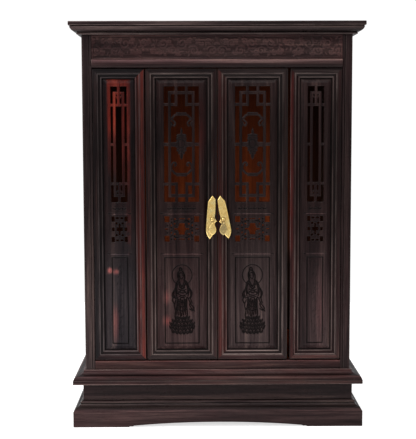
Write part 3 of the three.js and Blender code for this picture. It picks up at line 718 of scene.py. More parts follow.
def small_openings(x, z, half_width):
    """Distance to the pierced spots of the small square field, negative inside them."""
    x, z = np.abs(x), np.abs(z)
    half_height = LOWER_WINDOW["half_height"]
    if half_width == DOOR_WINDOW_HALF:
        return np.minimum.reduce([
            near_oval(x, z, 0, 0, 5, 5.6),
            near_box(x, z, -1, 3.6, -1, 7.2),
            near_box(x, z, 4, 9.2, -1, 1.2),
            near_box(x, z, 15.4, half_width, 8.2, half_height) - 0.01,
            near_box(x, z, 17, 20.8, -1, 0.9),
            near_box(x, z, -1, 3.6, 12, 13.4),
            near_oval(x, z, 8.6, 12.4, 1.5, 1.1),
            near_oval(x, z, 8.8, 6.4, 1.3, 1.1),
            near_oval(x, z, 13, 4.6, 0.9, 1.5),
        ])
    return np.minimum.reduce([
        near_box(x, z, -1, 3.4, -1, 2.2) - 0.3,
        near_box(x, z, -1, 0.9, -1, 7.4),
        near_box(x, z, 6.2, half_width, 9.4, half_height) - 0.01,
        near_box(x, z, 1.1, 4.4, 12.6, 15.2),
        near_box(x, z, 6.6, 9.2, -1, 2.2) - 0.2,
        near_oval(x, z, 3.9, 7.4, 1.3, 1.5),
    ])


def small_ornament(x, z, half_width):
    """Carved dips of the small square field: leaves and round eyes about a ring."""
    x, z = np.abs(x), np.abs(z)
    cut = np.zeros(np.shape(x))
    if half_width == DOOR_WINDOW_HALF:
        leaves = ((8.6, 9.4, -0.7), (12.6, 8.4, 0.9), (5.4, 10.4, 0.15), (12.4, 1.6, 0.4))
        for middle_x, middle_z, turn in leaves:
            along = (x - middle_x) * math.cos(turn) + (z - middle_z) * math.sin(turn)
            across = (z - middle_z) * math.cos(turn) - (x - middle_x) * math.sin(turn)
            leaf = near_oval(along, across, 0, 0, 2.2, 0.9)
            cut = np.maximum(cut, np.clip(-leaf / 0.7, 0, 1))
        for middle_x, middle_z in ((12.6, 12.6), (17.8, 4.6)):
            eye = near_oval(x, z, middle_x, middle_z, 1.2, 1.2)
            cut = np.maximum(cut, 1.4 * np.clip(-eye, 0, 1))
    cut = np.maximum(cut, groove(near_oval(x, z, 0, 0, min(7, half_width * 0.5), 9), 0.6, 0.5))
    return cut


# ------------------------------------------------------------------ engraving


def figure_lines():
    """A standing robed figure, as strokes (line, half width) about the middle of its lotus.

    The body sways: its hips stand to one side of the head, and one scarf end floats out low.
    """
    def swayed(points):
        return [(a - 1.6 + 1.9 * math.sin((b - 24) / 58 * math.pi), b) for a, b in points]

    hood = [(-3.6, 70.5), (-4.4, 75.5), (-3.2, 80), (0, 82.4), (3, 80), (4.3, 75.5), (3.6, 70.5)]
    veil = [(-2.9, 79), (-3.4, 74.5), (-2.7, 71)]
    knot = [(-1.5, 82.4), (-1.3, 84.8), (0, 85.8), (1.3, 84.8), (1.5, 82.4)]
    face = [(-2.3, 78.4), (-2.2, 74.8), (0, 71.8), (2.2, 74.8), (2.3, 78.4)]
    parting = [(-2.4, 78), (0, 79.6), (2.4, 78)]
    lines = [(hood, 0.8), (veil, 0.6), (knot, 0.9), (face, 0.4), (parting, 0.7)]
    for side in (-1, 1):
        strokes = (
            ([(2.8, 70.8), (6.4, 67.4), (8.4, 61), (10.6, 53), (9.2, 47.5), (5.6, 48.4)], 0.75),
            ([(5.2, 66), (6.8, 60), (6, 53), (2, 57)], 0.75),
            ([(7.6, 62), (8.2, 56.5), (7, 50)], 0.6),
            ([(5.6, 48), (6, 38), (7.6, 28), (7, 23)], 0.75),
            ([(4.2, 46), (4.6, 37), (5.4, 27)], 0.6),
            ([(2.4, 47), (3, 38), (3, 26)], 0.65),
            ([(0.5, 45), (1.3, 36), (0.8, 25)], 0.6),
            ([(3.2, 69), (1.8, 64.5), (0, 61.6)], 0.7),
            ([(4.6, 68), (3.2, 63), (0.4, 59)], 0.6),
            ([(0.7, 76.2), (1.2, 76), (1.7, 76.3)], 0.3),
        )
        lines += [([(side * a, b) for a, b in points], width) for points, width in strokes]
    lines += [
        ([(9.4, 60), (12, 54), (10.6, 47), (12.4, 41)], 0.7),
        ([(8, 46), (11, 40), (15.4, 34.6), (13.6, 31.6), (10, 34)], 0.7),
        ([(9, 40), (12.6, 34), (16.4, 31)], 0.6),
        ([(-9.6, 58), (-12.4, 53), (-11.6, 48), (-9, 50)], 0.75),
        ([(-10.8, 50), (-12.2, 45), (-10.2, 41)], 0.65),
        ([(-8, 45), (-9.4, 39), (-8.2, 33)], 0.6),
    ]
    folds = ((59.5, 3.4), (57, 4.6), (54, 4.4), (50.5, 5), (48, 4), (42, 5), (36.5, 5.2), (31.5, 5.6))
    for rise, reach in folds:
        lines.append(([(-reach, rise + 1.8), (0.4, rise), (reach, rise + 1.4)], 0.55))
    return [(curve(swayed(points)), width) for points, width in lines]


def lotus_lines():
    """Rows of petals heaped into the lotus that the figure stands on."""
    lines = []
    for row, (half_row, petals) in enumerate(((9, 5), (12.5, 6), (15.2, 7), (15.6, 7), (13, 6))):
        height = 20.5 - 4.5 * row
        wide = 2 * half_row / petals
        for petal in range(petals):
            middle = -half_row + wide * (petal + 0.5)
            droop = 0.012 * middle**2
            lines.append((curve([
                (middle - wide / 2, height + 3.2 + droop), (middle - wide / 3, height + 0.6 + droop),
                (middle, height - 0.6 + droop), (middle + wide / 3, height + 0.6 + droop),
                (middle + wide / 2, height + 3.2 + droop),
            ], 3), 0.75))
            lines.append(([(middle, height + 2.6 + droop), (middle, height + 1.2 + droop)], 0.75))
    return lines


FIGURE = figure_lines() + lotus_lines()
STROKE_SPREAD = 0.2    # added to each stroke's half width by wear
STROKE_DEPTH = 1.3


def engraved_figure(x, z):
    """The figure on its lotus before a round halo, as a depth."""
    cut = groove(near_oval(x, z, 0, 76.5, 12.4, 12.9), 0.8, 0.9)
    for points, half_width in FIGURE:
        wide = half_width + STROKE_SPREAD
        xs, zs = zip(*points)
        close = ((x > min(xs) - 2) & (x < max(xs) + 2) & (z > min(zs) - 2) & (z < max(zs) + 2))
        if close.any():
            stroke = groove(near_line(x[close], z[close], points), wide, STROKE_DEPTH)
            cut[close] = np.maximum(cut[close], stroke)
    return cut


def worn_inscription(x, z, middle, bottom, top, seed):
    """A column of shallow short strokes, cut too plainly to be letters."""
    chance = random.Random(seed)
    cut = np.zeros(np.shape(x))
    count = round((top - bottom) / 10.5)
    for cell in range(count):
        centre = top - (cell + 0.5) * (top - bottom) / count
        for _ in range(5):
            start = (middle + chance.uniform(-3.2, 3.2), centre + chance.uniform(-3.4, 3.4))
            turn = chance.choice((0, 0, math.pi / 2, math.pi / 2, -0.9))
            length = chance.uniform(2.2, 4.6)
            end = (start[0] + length * math.cos(turn) - 1.5, start[1] - length * math.sin(turn) + 1.5)
            cut = np.maximum(cut, groove(near_line(x, z, [start, end]), 0.6, 0.4))
    return cut


# ------------------------------------------------------------------ the leaves


# Soft oval patches on the leaves' panels, where the wood is redder or paler, each as
# (amount, across from the panel's middle, height, half width, half height, softness).
RED_PATCHES = {
    "left_light": ((0.25, -6, 128, 5, 30, 1), (0.3, 11.5, 250, 4, 40, 1), (0.3, -12.6, 194.5, 5, 5, 1),
                   (0.3, -5, 193, 5, 5, 1)),
    "left_door": ((0.3, -19, 160, 5, 12, 1), (0.35, -19, 131, 7, 9, 1), (0.5, 25, 365, 6, 50, 1)),
    "right_door": (),
    "right_light": ((0.05, 6, 150, 6, 75, 0.8),),
}
PALE_PATCHES = {
    "left_light": ((3.8, -12.6, 194.5, 4, 4.6, 0.7), (2.2, -5, 193, 4.6, 4.4, 0.7),
                   (0.8, -6, 128, 5, 30, 1)),
    "left_door": ((1.2, -19, 160, 5, 12, 1), (1.0, -19, 131, 7, 9, 1), (-0.5, -27, 350, 8, 40, 1)),
    "right_door": (),
    "right_light": ((0.9, 6, 150, 6, 75, 0.8),),
}
PANEL_REDNESS = {"left_door": 0.05, "right_light": 0.02}
PANEL_LIGHTNESS = {"right_door": 1.12, "right_light": 1.2}


def patched(patches, across, z):
    """The sum of some soft oval patches."""
    total = np.zeros(np.shape(z))
    for amount, middle, height, half_wide, half_high, softness in patches:
        reach = np.hypot((across - middle) / half_wide, (z - height) / half_high)
        total += amount * np.clip((1 - reach) / softness, 0, 1)
    return total


def leaf_places(leaf):
    """The edges and the face of a leaf."""
    left = box_mm(f"{leaf}_left_stile")[0][0]
    right = box_mm(f"{leaf}_right_stile")[1][0]
    low = box_mm(f"{leaf}_bottom_rail")[0]
    top = box_mm(f"{leaf}_top_rail")[1][2]
    return {"left": left, "right": right, "bottom": low[2], "top": top, "face": low[1]}


def inset_in(at, x, z):
    """How far a place lies inwards from the nearest edge of its leaf."""
    return np.minimum.reduce([x - at["left"], at["right"] - x, z - at["bottom"], at["top"] - z])


def leaf_panel(leaf):
    """A raised and fielded panel with its fretwork, small openwork, border and engraving."""
    at = leaf_places(leaf)
    is_door = leaf.endswith("door")
    middle = (at["left"] + at["right"]) / 2
    window = DOOR_WINDOW_HALF if is_door else LIGHT_WINDOW_HALF
    fret = door_fret if is_door else light_fret

    def near_window(x, z, place):
        """Distance to the upper or lower window, negative inside it."""
        half_height = place["half_height"]
        return near_box(x - middle, z - place["centre"], -window, window, -half_height, half_height)

    def opening(x, z):
        upper = np.maximum(near_window(x, z, UPPER_WINDOW), -fret(x - middle, z - UPPER_WINDOW["centre"]))
        return np.minimum(upper, small_openings(x - middle, z - LOWER_WINDOW["centre"], window))

    def cut_of(x, z):
        """How deep the carving and engraving go below the panel's own face."""
        in_lower = near_window(x, z, LOWER_WINDOW) < 0
        x = x - middle
        cut = small_ornament(x, z - LOWER_WINDOW["centre"], window) * in_lower
        if is_door:
            cut = cut + flower_veins(np.abs(x), z - UPPER_WINDOW["centre"])
        for height in GROOVES:
            cut = np.maximum(cut, np.interp(z - height, (-1.3, -0.1, 0.4), (0, 1.0, 0)))
        cut = np.maximum(cut, leaf_band(x, z, window, is_door))
        border = near_box(x, z, -(window - 0.3), window - 0.3, BORDER_FOOT, BORDER_TOP)
        cut = np.maximum(cut, groove(border, 0.8, 1.0))
        if is_door:
            return np.maximum(cut, engraved_figure(x, z - LOTUS_HEIGHT))
        return np.maximum(cut, worn_inscription(x, z, 0, BORDER_FOOT + 5.5, BORDER_TOP - 6, leaf))

    def depth(x, z):
        inset = inset_in(at, x, z)
        slope = (PANEL_EDGE, PANEL_FOOT, PANEL_FOOT + 0.3, FIELD_EDGE - 0.2, FIELD_EDGE + 0.3)
        face = np.interp(inset, slope, (4.7, 4.7, 4.55, 2.1, FIELD_DEPTH))
        in_upper = near_window(x, z, UPPER_WINDOW)
        face = face + (BAR_DEPTH - FIELD_DEPTH) * np.clip(0.5 - in_upper / 0.5, 0, 1)
        face = face + 0.55 * np.clip(1 - opening(x, z), 0, 1) ** 2
        return at["face"] + face + cut_of(x, z) * np.clip((inset - FIELD_EDGE) / 0.4, 0, 1)

    def paint(place, finish):
        x, z = place[:, 0], place[:, 2]
        across = x - middle
        inset = inset_in(at, x, z)
        in_front = (inset > FIELD_EDGE + 0.4) & (place[:, 1] < at["face"] + 6)
        # Painted shade in the carving and engraving, and on the slope's foot and edge under the frame.
        finish[:, 2] = np.where(in_front, np.clip((cut_of(x, z) - 0.1) / 0.4, 0, 1), 0)
        finish[:, 2] = np.where(inset < PANEL_FOOT + 0.5, 0.8, finish[:, 2])
        # The lower lip of each groove gets a painted highlight instead of shade.
        for height in GROOVES:
            lip = in_front & (np.abs(z - height + 0.75) < 0.6) & (np.abs(across) < window + 1.5)
            finish[lip, 2] = 0
            finish[lip, 1] = 1.7 / height_light_at(height)
        tone = height_light_at(z)
        finish[:, 0] = PANEL_REDNESS.get(leaf, 0)
        if leaf == "left_light":
            # The wood beside this window is bright red, fading towards the window's foot.
            beside = 1 - np.clip((np.abs(across) - 13.4) / 1.6, 0, 1)
            fade_foot = np.where(across > 0, 285, 310)
            finish[:, 0] = beside * np.clip((z - fade_foot) / 60, 0, 1) * 0.95
        finish[:, 0] += patched(RED_PATCHES[leaf], across, z)
        if leaf == "left_light":
            tone = np.maximum(tone, finish[:, 0] * 0.55)
        finish[:, 1] *= PANEL_LIGHTNESS.get(leaf, 1) + patched(PALE_PATCHES[leaf], across, z)
        # Painted light by height, lighter still towards the panel's foot.
        finish[:, 1] *= np.interp(z, (170, 240), (1.35, 1.0)) * tone
        finish[:, 0] += redness_at(z)

    field_left, field_right = at["left"] + FIELD_EDGE + 0.4, at["right"] - FIELD_EDGE - 0.4
    carved_left, carved_right = middle - window - 0.7, middle + window + 0.7
    carved_foot, carved_top = BORDER_FOOT - 2, UPPER_WINDOW["centre"] + 72.4
    columns = grid_lines(
        (at["left"] + PANEL_EDGE, at["left"] + PANEL_FOOT, HIDDEN_GRID),
        (at["left"] + PANEL_FOOT, field_left, SLOPE_GRID),
        (field_left, carved_left, PLAIN_GRID),
        (carved_left, carved_right, CARVING_GRID),
        (carved_right, field_right, PLAIN_GRID),
        (field_right, at["right"] - PANEL_FOOT, SLOPE_GRID),
        (at["right"] - PANEL_FOOT, at["right"] - PANEL_EDGE, HIDDEN_GRID),
    )
    rows = grid_lines(
        (at["bottom"] + PANEL_EDGE, at["bottom"] + PANEL_FOOT, HIDDEN_GRID),
        (at["bottom"] + PANEL_FOOT, carved_foot, SLOPE_GRID),
        (carved_foot, GROOVES[0] + 14, CARVING_GRID),
        (GROOVES[0] + 14, carved_top, CARVING_GRID),
        (carved_top, at["top"] - PANEL_FOOT, SLOPE_GRID),
        (at["top"] - PANEL_FOOT, at["top"] - PANEL_EDGE, HIDDEN_GRID),
    )
    board = carved_board(columns, rows, at["face"] + PANEL_THICKNESS, depth, opening)
    finish_piece(f"{leaf}_panel", board, "z", paint=paint, smooth_angle=42, worn_lit_shaded_edges=False)


BAND_LEAVES = 271.6    # heights of the band's leaves, of the berries over them and of its two edge lines
BAND_BERRIES = 274.6
BAND_LINES = (268.6, 277.2)


def leaf_band(x, z, window, is_door):
    """The row of small carved leaves over the small square field."""
    cut = np.zeros(np.shape(x))
    middles = (-15, -9, -3, 3, 9, 15) if is_door else (-5.5, 0, 5.5)
    for middle in middles:
        for side in (-1, 1):
            turn = 0.6 * side
            across = x - middle - side * 1.3
            up = z - BAND_LEAVES
            along = across * math.cos(turn) + up * math.sin(turn)
            beside = up * math.cos(turn) - across * math.sin(turn)
            leaf = near_oval(along, beside, 0, 0, 1.9, 0.95)
            cut = np.maximum(cut, 0.9 * np.clip(-leaf / 0.7, 0, 1))
        berry = near_oval(x, z, middle, BAND_BERRIES, 0.8, 0.8)
        cut = np.maximum(cut, 0.9 * np.clip(-berry / 0.6, 0, 1))
    for height in BAND_LINES:
        cut = np.maximum(cut, groove(z - height, 0.5, 0.3) * (np.abs(x) < window))
    return cut


def arc_points(middle_a, middle_b, half_a, half_b, start, end, steps):
    angles = [math.radians(start + (end - start) * i / steps) for i in range(steps + 1)]
    return [(middle_a + half_a * math.cos(a), middle_b + half_b * math.sin(a)) for a in angles]


def leaf_section():
    """Section of a leaf's stiles and rails: (inwards from the outer edge, behind the face)."""
    return [
        (0, 11), *arc_points(0.8, 0.8, 0.8, 0.8, 180, 270, 4), (4.55, 0), (4.8, 0.1), (5.05, 0.7),
        *arc_points(6.2, 0.85, 1.05, 0.85, 180, 360, 9), (7.5, 1.3), (8, 1.85), (9.35, 2.3),
        *arc_points(10.4, 2.3, 0.95, 0.7, 180, 360, 9), (11.5, 3), (11.75, 3.55), (12.15, 3.65),
        (12.3, 3.8), (12.3, 5.2), (9.3, 5.2), (9.3, 8.4), (12.3, 8.4), (12.3, 10.7), (12, 11),
    ]


def mitred_bar(section, length, axes, start):
    """The section swept along its length with both ends cut at 45 degrees, then turned into place."""
    bm = bmesh.new()
    end = bm.faces.new([bm.verts.new((across, deep, 0)) for across, deep in section])
    grown = bmesh.ops.extrude_face_region(bm, geom=[end], use_keep_orig=True)
    far = [v for v in grown["geom"] if isinstance(v, bmesh.types.BMVert)]
    bmesh.ops.translate(bm, verts=far, vec=(0, 0, length))
    for vert in bm.verts:
        cut = vert.co.x
        vert.co.z += cut if vert.co.z < length / 2 else -cut
    turn = Matrix([Vector(axis) for axis in axes]).transposed().to_4x4()
    bmesh.ops.transform(bm, matrix=Matrix.Translation(start) @ turn, verts=bm.verts)
    return bm


# The leaves get painted light by height: darkest beside the fretwork and lighter towards their feet and
# heads, as light from above and the floor's reflection fall there. They are also reddest beside the
# fretwork.
# Each pair is a height and the lightness or the added redness there.
HEIGHT_LIGHT = ((75, 1.0), (150, 0.95), (180, 0.82), (205, 0.68), (230, 0.54), (250, 0.46), (270, 0.40),
                (300, 0.33), (370, 0.32), (400, 0.38), (420, 0.52), (436, 0.75), (455, 0.95))
HEIGHT_REDNESS = ((200, 0), (290, 0.07), (410, 0.07), (440, 0.0))


def height_light_at(z):
    return np.interp(z, *zip(*HEIGHT_LIGHT))


def redness_at(z):
    return np.interp(z, *zip(*HEIGHT_REDNESS))


# How much painted shade, with some dust, lies in the frame's quirks, inwards from the leaf's outer edge.
QUIRK_SHADE = ((0, 1), (0.5, 0.8), (1.1, 0), (4.75, 0), (5.05, 0.9), (5.25, 0.4), (5.7, 0), (6.8, 0), (7.3, 0.8),
          (7.6, 0.9), (8.1, 0.3), (9.2, 0.3), (9.45, 0.9), (9.8, 0.2), (11, 0), (11.35, 0.7), (11.8, 1),
          (12.4, 1))
MITRE_GAP = 0.1        # between the ends of the stiles and rails
PIVOT_RADIUS = 1.58


def leaf_frame(leaf, redness, lightness):
    """Two stiles and two rails, mitred, each from its own stick of moulding."""
    at = leaf_places(leaf)

    def paint(place, finish):
        x, z = place[:, 0], place[:, 2]
        # Painted shade in the quirks of the moulding.
        finish[:, 2] = np.interp(inset_in(at, x, z), *zip(*QUIRK_SHADE))
        # Painted light by height.
        finish[:, 1] *= height_light_at(z)
        finish[:, 0] += redness_at(z)
        if leaf == "right_light":
            # The edge beside the wide gap is painted orange-red, like the lit inside seen through the gap.
            painted_glow = (x < at["left"] + 1.4) & (z > 222) & (z < 432)
            finish[painted_glow] = (1, 0.75, 0)

    tall = at["top"] - at["bottom"] - 2 * MITRE_GAP
    wide = at["right"] - at["left"] - 2 * MITRE_GAP
    x, y, z = (1, 0, 0), (0, 1, 0), (0, 0, 1)
    minus_x, minus_z = (-1, 0, 0), (0, 0, -1)
    bars = {
        "left_stile": ("z", tall, (x, y, z), (at["left"], at["face"], at["bottom"] + MITRE_GAP)),
        "right_stile": ("z", tall, (minus_x, y, minus_z), (at["right"], at["face"], at["top"] - MITRE_GAP)),
        "top_rail": ("x", wide, (minus_z, y, x), (at["left"] + MITRE_GAP, at["face"], at["top"])),
        "bottom_rail": ("x", wide, (z, y, minus_x), (at["right"] - MITRE_GAP, at["face"], at["bottom"])),
    }
    pivot_side = {"left_door": "left_stile", "right_door": "right_stile"}.get(leaf)
    for bar, (axis, length, axes, start) in bars.items():
        node = f"{leaf}_{bar}"
        bm = mitred_bar(leaf_section(), length, axes, start)
        if bar == pivot_side:
            add_pivots(bm, node, at)
        cut_along(bm, axis)
        finish_piece(node, bm, axis, redness.get(bar, 0), lightness.get(bar, 1), paint)


def add_pivots(bm, node, at):
    """Round tenons at the head and foot of a door's outer stile."""
    low, high = box_mm(node)
    joint = next(j for j in frame["joints"] if node.startswith(j["child"]) and "hinge" in j["name"])
    pivot_x, pivot_y = joint["pos_m"][0] / MM, joint["pos_m"][1] / MM
    for bottom, top in ((low[2], at["bottom"] + 3), (at["top"] - 3, high[2])):
        place = Matrix.Translation((pivot_x, pivot_y, (bottom + top) / 2))
        bmesh.ops.create_cone(bm, cap_ends=True, segments=20, radius1=PIVOT_RADIUS, radius2=PIVOT_RADIUS,
                              depth=top - bottom, matrix=place)


# ------------------------------------------------------------------ the frieze


def spiral(middle_x, middle_z, radius, start, turns, steps=22):
    """A line that winds inwards; turns is negative for clockwise."""
    line = []
    for step in range(steps + 1):
        share = step / steps
        angle = math.radians(start) + share * turns * 2 * math.pi
        reach = radius * (1 - 0.82 * share)
        line.append((middle_x + reach * math.cos(angle), middle_z + reach * math.sin(angle)))
    return line


FRIEZE_MARGIN = 1.6    # the plain strip round the carving
FRIEZE_GROUND = 1.05   # how deep the carving's ground lies


def frieze():
    """A board of low scrolling leaves between plain margins."""
    low, high = box_mm("frieze_board")
    middle = (low[2] + high[2]) / 2
    chance = random.Random("frieze")
    ribs, leaves = [], []
    for step in range(13):
        place = 6 + step * 11.8 + chance.uniform(-1.5, 1.5)
        up = 1 if step % 2 else -1
        size = chance.uniform(5, 6.8)
        ribs.append(spiral(place, middle + up * 4.4, size, chance.uniform(0, 360), -1.3 * up))
        ribs.append(spiral(place + 5, middle - up * 6.8, size * 0.62, chance.uniform(0, 360), 1.2 * up))
        for _ in range(13):
            leaves.append((place + chance.uniform(-6.5, 6.5), middle + chance.uniform(-11.5, 11.5),
                           chance.uniform(1.8, 3.4), chance.uniform(0, math.pi)))

    def relief(x, z):
        x = np.abs(x)
        height = np.zeros(np.shape(x))
        for rib in ribs:
            xs = [p[0] for p in rib]
            close = (x > min(xs) - 2) & (x < max(xs) + 2)
            rise = ridge(near_line(x[close], z[close], rib), 1.25, 0.85)
            height[close] = np.maximum(height[close], rise)
        for middle_x, middle_z, size, turn in leaves:
            close = np.hypot(x - middle_x, z - middle_z) < size + 1
            dx, dz = x[close] - middle_x, z[close] - middle_z
            along = dx * math.cos(turn) + dz * math.sin(turn)
            beside = dz * math.cos(turn) - dx * math.sin(turn)
            oval = near_oval(along, beside, 0, 0, size, size * 0.45)
            rise = 0.95 * np.sqrt(np.clip(-oval / (size * 0.45), 0, 1)) - groove(beside, 0.5, 0.35)
            height[close] = np.maximum(height[close], rise)
        return height

    def margin(x, z):
        return np.minimum.reduce([x - low[0], high[0] - x, z - low[2], high[2] - z])

    def depth(x, z):
        rise = relief(x, z)
        inside = np.clip((margin(x, z) - FRIEZE_MARGIN - 0.1) / 0.5, 0, 1)
        ground = low[1] + FRIEZE_GROUND - rise
        return low[1] + 0.05 + inside * np.clip(ground - low[1] - 0.05, 0.05, 2)

    def paint(place, finish):
        # Painted shade on the sunk ground between the carved leaves.
        sunk_shade = np.clip((depth(place[:, 0], place[:, 2]) - low[1] - 0.35) / 0.7, 0, 1)
        finish[:, 2] = sunk_shade * 0.5 * (place[:, 1] < low[1] + 3)

    columns, rows = (
        grid_lines((low[axis], low[axis] + FRIEZE_MARGIN, SLOPE_GRID),
                   (low[axis] + FRIEZE_MARGIN, high[axis] - FRIEZE_MARGIN, CARVING_GRID),
                   (high[axis] - FRIEZE_MARGIN, high[axis], SLOPE_GRID))
        for axis in (0, 2)
    )
    board = carved_board(columns, rows, high[1], depth)
    finish_piece("frieze_board", board, "x", redness=0.1, lightness=1.4, paint=paint, worn_lit_shaded_edges=False)


# ------------------------------------------------------------------ plain boards, posts and rails

# How light a moulding is at each height: painted highlights on the noses, painted shade in the quirks and
# hollows.
MOULDING_LIGHT = {
    "crown_board": ((484.7, 0.9), (485.1, 1.3), (486.6, 1.7), (486.8, 0.15), (487.4, 0.15), (488.3, 0.6),
                    (490.6, 1.0), (492.1, 1.4), (493.7, 1.8), (494.1, 0.15), (494.8, 0.15), (495.1, 1.0),
                    (495.4, 1.2), (499.5, 1.3), (500, 1.0)),
    "ledge_board": ((53.5, 1.0), (54.1, 0.9), (58.6, 0.6), (61, 0.8), (62.4, 1.5), (63.2, 1.8),
                    (63.3, 0.15), (64, 0.25), (65, 0.9), (67, 1.5), (68.6, 1.8), (70, 1.8)),
    "base_top_board": ((23.6, 0.4), (24.3, 0.4), (26, 0.9), (28, 1.3), (28.3, 0.25), (28.6, 0.6),
                       (30.6, 1.9), (31.5, 1.2), (32, 0.4)),
    "head_rail": ((444.5, 0.35), (447, 0.5), (449, 0.7), (450.6, 1.5), (452.6, 2.4), (454.4, 2.8),
                  (455.1, 1.4)),
    "base_skirt_front": ((0, 0.9), (0.4, 1.1), (19.2, 1.1), (19.9, 1.8), (20.4, 0.8), (23.5, 0.7)),
    "bottom_rail": ((70.1, 0.5), (76, 0.6), (78.8, 0.9), (80.3, 3.0)),
}
EVEN_LIGHT = ((0, 1), (1, 1))

# Painted light falling from the left: the front is a little paler to the left than to the right, lightness
# at each end.
SIDE_LIGHT = {
    "crown_board": (1.5, 0.75),
    "head_rail": (2.0, 1.0),
    "ledge_board": (1.5, 0.8),
    "waist_board_front": (1.1, 0.75),
    "base_top_board": (1.1, 0.8),
    "base_skirt_front": (1.4, 0.9),
}


def plain_boards():
    """Boards whose CAD shape is already right, with their edges eased, worn, given a painted sheen and
    shade, and lit by paint.
    """
    along_x = ("crown_board", "ledge_board", "base_top_board", "base_skirt_front", "base_skirt_back",
               "waist_board_front", "waist_board_back", "head_rail", "bottom_rail")
    along_y = ("base_skirt_left", "base_skirt_right", "waist_board_left", "waist_board_right",
               "left_side_top_rail", "right_side_top_rail", "left_side_bottom_rail",
               "right_side_bottom_rail", "floor_board")
    along_z = ("front_left_post", "front_right_post", "back_left_post", "back_right_post",
               "left_side_panel", "right_side_panel")
    redness = {"head_rail": 0.05, "base_skirt_front": 0.06, "ledge_board": 0.12,
               "front_right_post": 0.05, "bottom_rail": 0.15, "waist_board_front": 0.05}
    lightness = {"front_left_post": 1.3, "waist_board_front": 0.85}

    def painted_light_of(node):
        left, right = SIDE_LIGHT.get(node, (1, 1))

        def paint(place, finish):
            tones = MOULDING_LIGHT.get(node, EVEN_LIGHT)
            # Painted highlights and shade along the moulding, and painted light falling from the left.
            finish[:, 1] *= np.interp(place[:, 2], *zip(*tones))
            finish[:, 1] *= np.interp(place[:, 0], (-170, 130), (left, right))
        return paint

    def post_light(place, finish):
        # Painted light by height on the front posts.
        finish[:, 1] *= 0.25 + 0.75 * height_light_at(place[:, 2])

    for axis, nodes in (("x", along_x), ("y", along_y), ("z", along_z)):
        for node in nodes:
            bm = worn_copy(node)
            paint = post_light if node.startswith("front_") else painted_light_of(node)
            if node in SIDE_LIGHT or paint is post_light:
                cut_along(bm, axis)
            finish_piece(node, bm, axis, redness.get(node, 0), lightness.get(node, 1), paint)


def back_board():
    """The inner back, with painted shade towards its sides, foot and top, redder at its sides and top, and
    dark outside.
    """
    bm = worn_copy("back_board", 0.3)
    low, high = box_mm("back_board")
    for axis, normal in ((0, (1, 0, 0)), (2, (0, 0, 1))):
        for cut in np.linspace(low[axis], high[axis], 26)[1:-1]:
            point = [0, 0, 0]
            point[axis] = cut
            geometry = bm.verts[:] + bm.edges[:] + bm.faces[:]
            bmesh.ops.bisect_plane(bm, geom=geometry, plane_co=point, plane_no=normal)

    def paint(place, finish):
        # Painted shade where little light comes in: the sides, the foot under the solid panels, and the
        # top.
        side = np.clip((np.abs(place[:, 0]) - 92) / 20, 0, 1)
        foot = 1 - np.clip((place[:, 2] - 185) / 25, 0, 1)
        top = np.clip((place[:, 2] - 330) / 110, 0, 1)
        finish[:, 1] = (1 - 0.75 * side) * (1 - 0.85 * foot) * (1 - 0.35 * top)
        finish[:, 0] = np.maximum(0.6 * side, 0.35 * top)
        outside = place[:, 1] > (low[1] + high[1]) / 2
        finish[outside, 0] = 1
        finish[outside, 1] = 0.4

    finish_piece("back_board", bm, "z", paint=paint)


# ------------------------------------------------------------------ brass pulls


def bent(start, *stretches, steps=5):
    """A closed outline of curves (pull_a, pull_b, end_a, end_b) and straight stretches (end_a, end_b)."""
    line = [start]
    for stretch in stretches:
        (a, b), end = line[-1], stretch[-2:]
        if len(stretch) == 2:
            line.append(end)
            continue
        for i in range(1, steps + 1):
            t = i / steps
            line.append(((1 - t)**2 * a + 2 * t * (1 - t) * stretch[0] + t * t * end[0],
                         (1 - t)**2 * b + 2 * t * (1 - t) * stretch[1] + t * t * end[1]))
    return line[:-1]


PLATE = bent((1.8, 29), (4.2, 25.4, 6.5, 21.4), (7.2, 4, 7.1, -14.6), (6, -20.6, 1.8, -24.9),
             (-2.6, -19.6, -3.6, -13.4), (-3.9, -8.4, -3.4, -4.4), (-5.9, -2.1), (-3.4, -0.4, -2.8, 2.2),
             (-3.4, 12, -2.4, 24.6), (-0.6, 27.2, 1.8, 29))
DROP = bent((0, -19.6), (-4.6, -17.2, -4.8, -12.8), (-4.6, -9.6, -2.3, -6.4), (-2.2, -3.4),
            (-2.2, -0.7, 0, -0.6), (2.2, -0.7, 2.2, -3.4), (2.3, -6.4), (4.6, -9.6, 4.8, -12.8),
            (4.6, -17.2, 0, -19.6))
SHEET = 1.0            # thickness of the plate and of the drop
SHEET_GRID = 0.32
DROP_HOLE = {"height": -2.9, "radius": 1.35}


def brass_sheet(outline, hole, swell, rim):
    """A cut sheet facing -Y with a softly swelling face, a rounded edge and a fine line inside it."""
    xs, zs = zip(*outline)

    def opening(x, z):
        away = -near_shape(x, z, outline)
        return np.minimum(away, near_oval(x, z, 0, hole["height"], hole["radius"], hole["radius"]))

    def depth(x, z):
        inset = np.clip(opening(x, z), 0, 9)
        round_edge = 0.6 * (1 - np.clip(inset / 1.1, 0, 1)) ** 2
        hollow = rim * np.clip((inset - 1.2) / 0.4, 0, 1)
        return round_edge + hollow - swell * np.clip(inset / 4, 0, 1) ** 2 + swell

    columns = grid_lines((min(xs) - 0.6, max(xs) + 0.6, SHEET_GRID))
    rows = grid_lines((min(zs) - 0.6, max(zs) + 0.6, SHEET_GRID))
    return carved_board(columns, rows, SHEET, depth, opening)


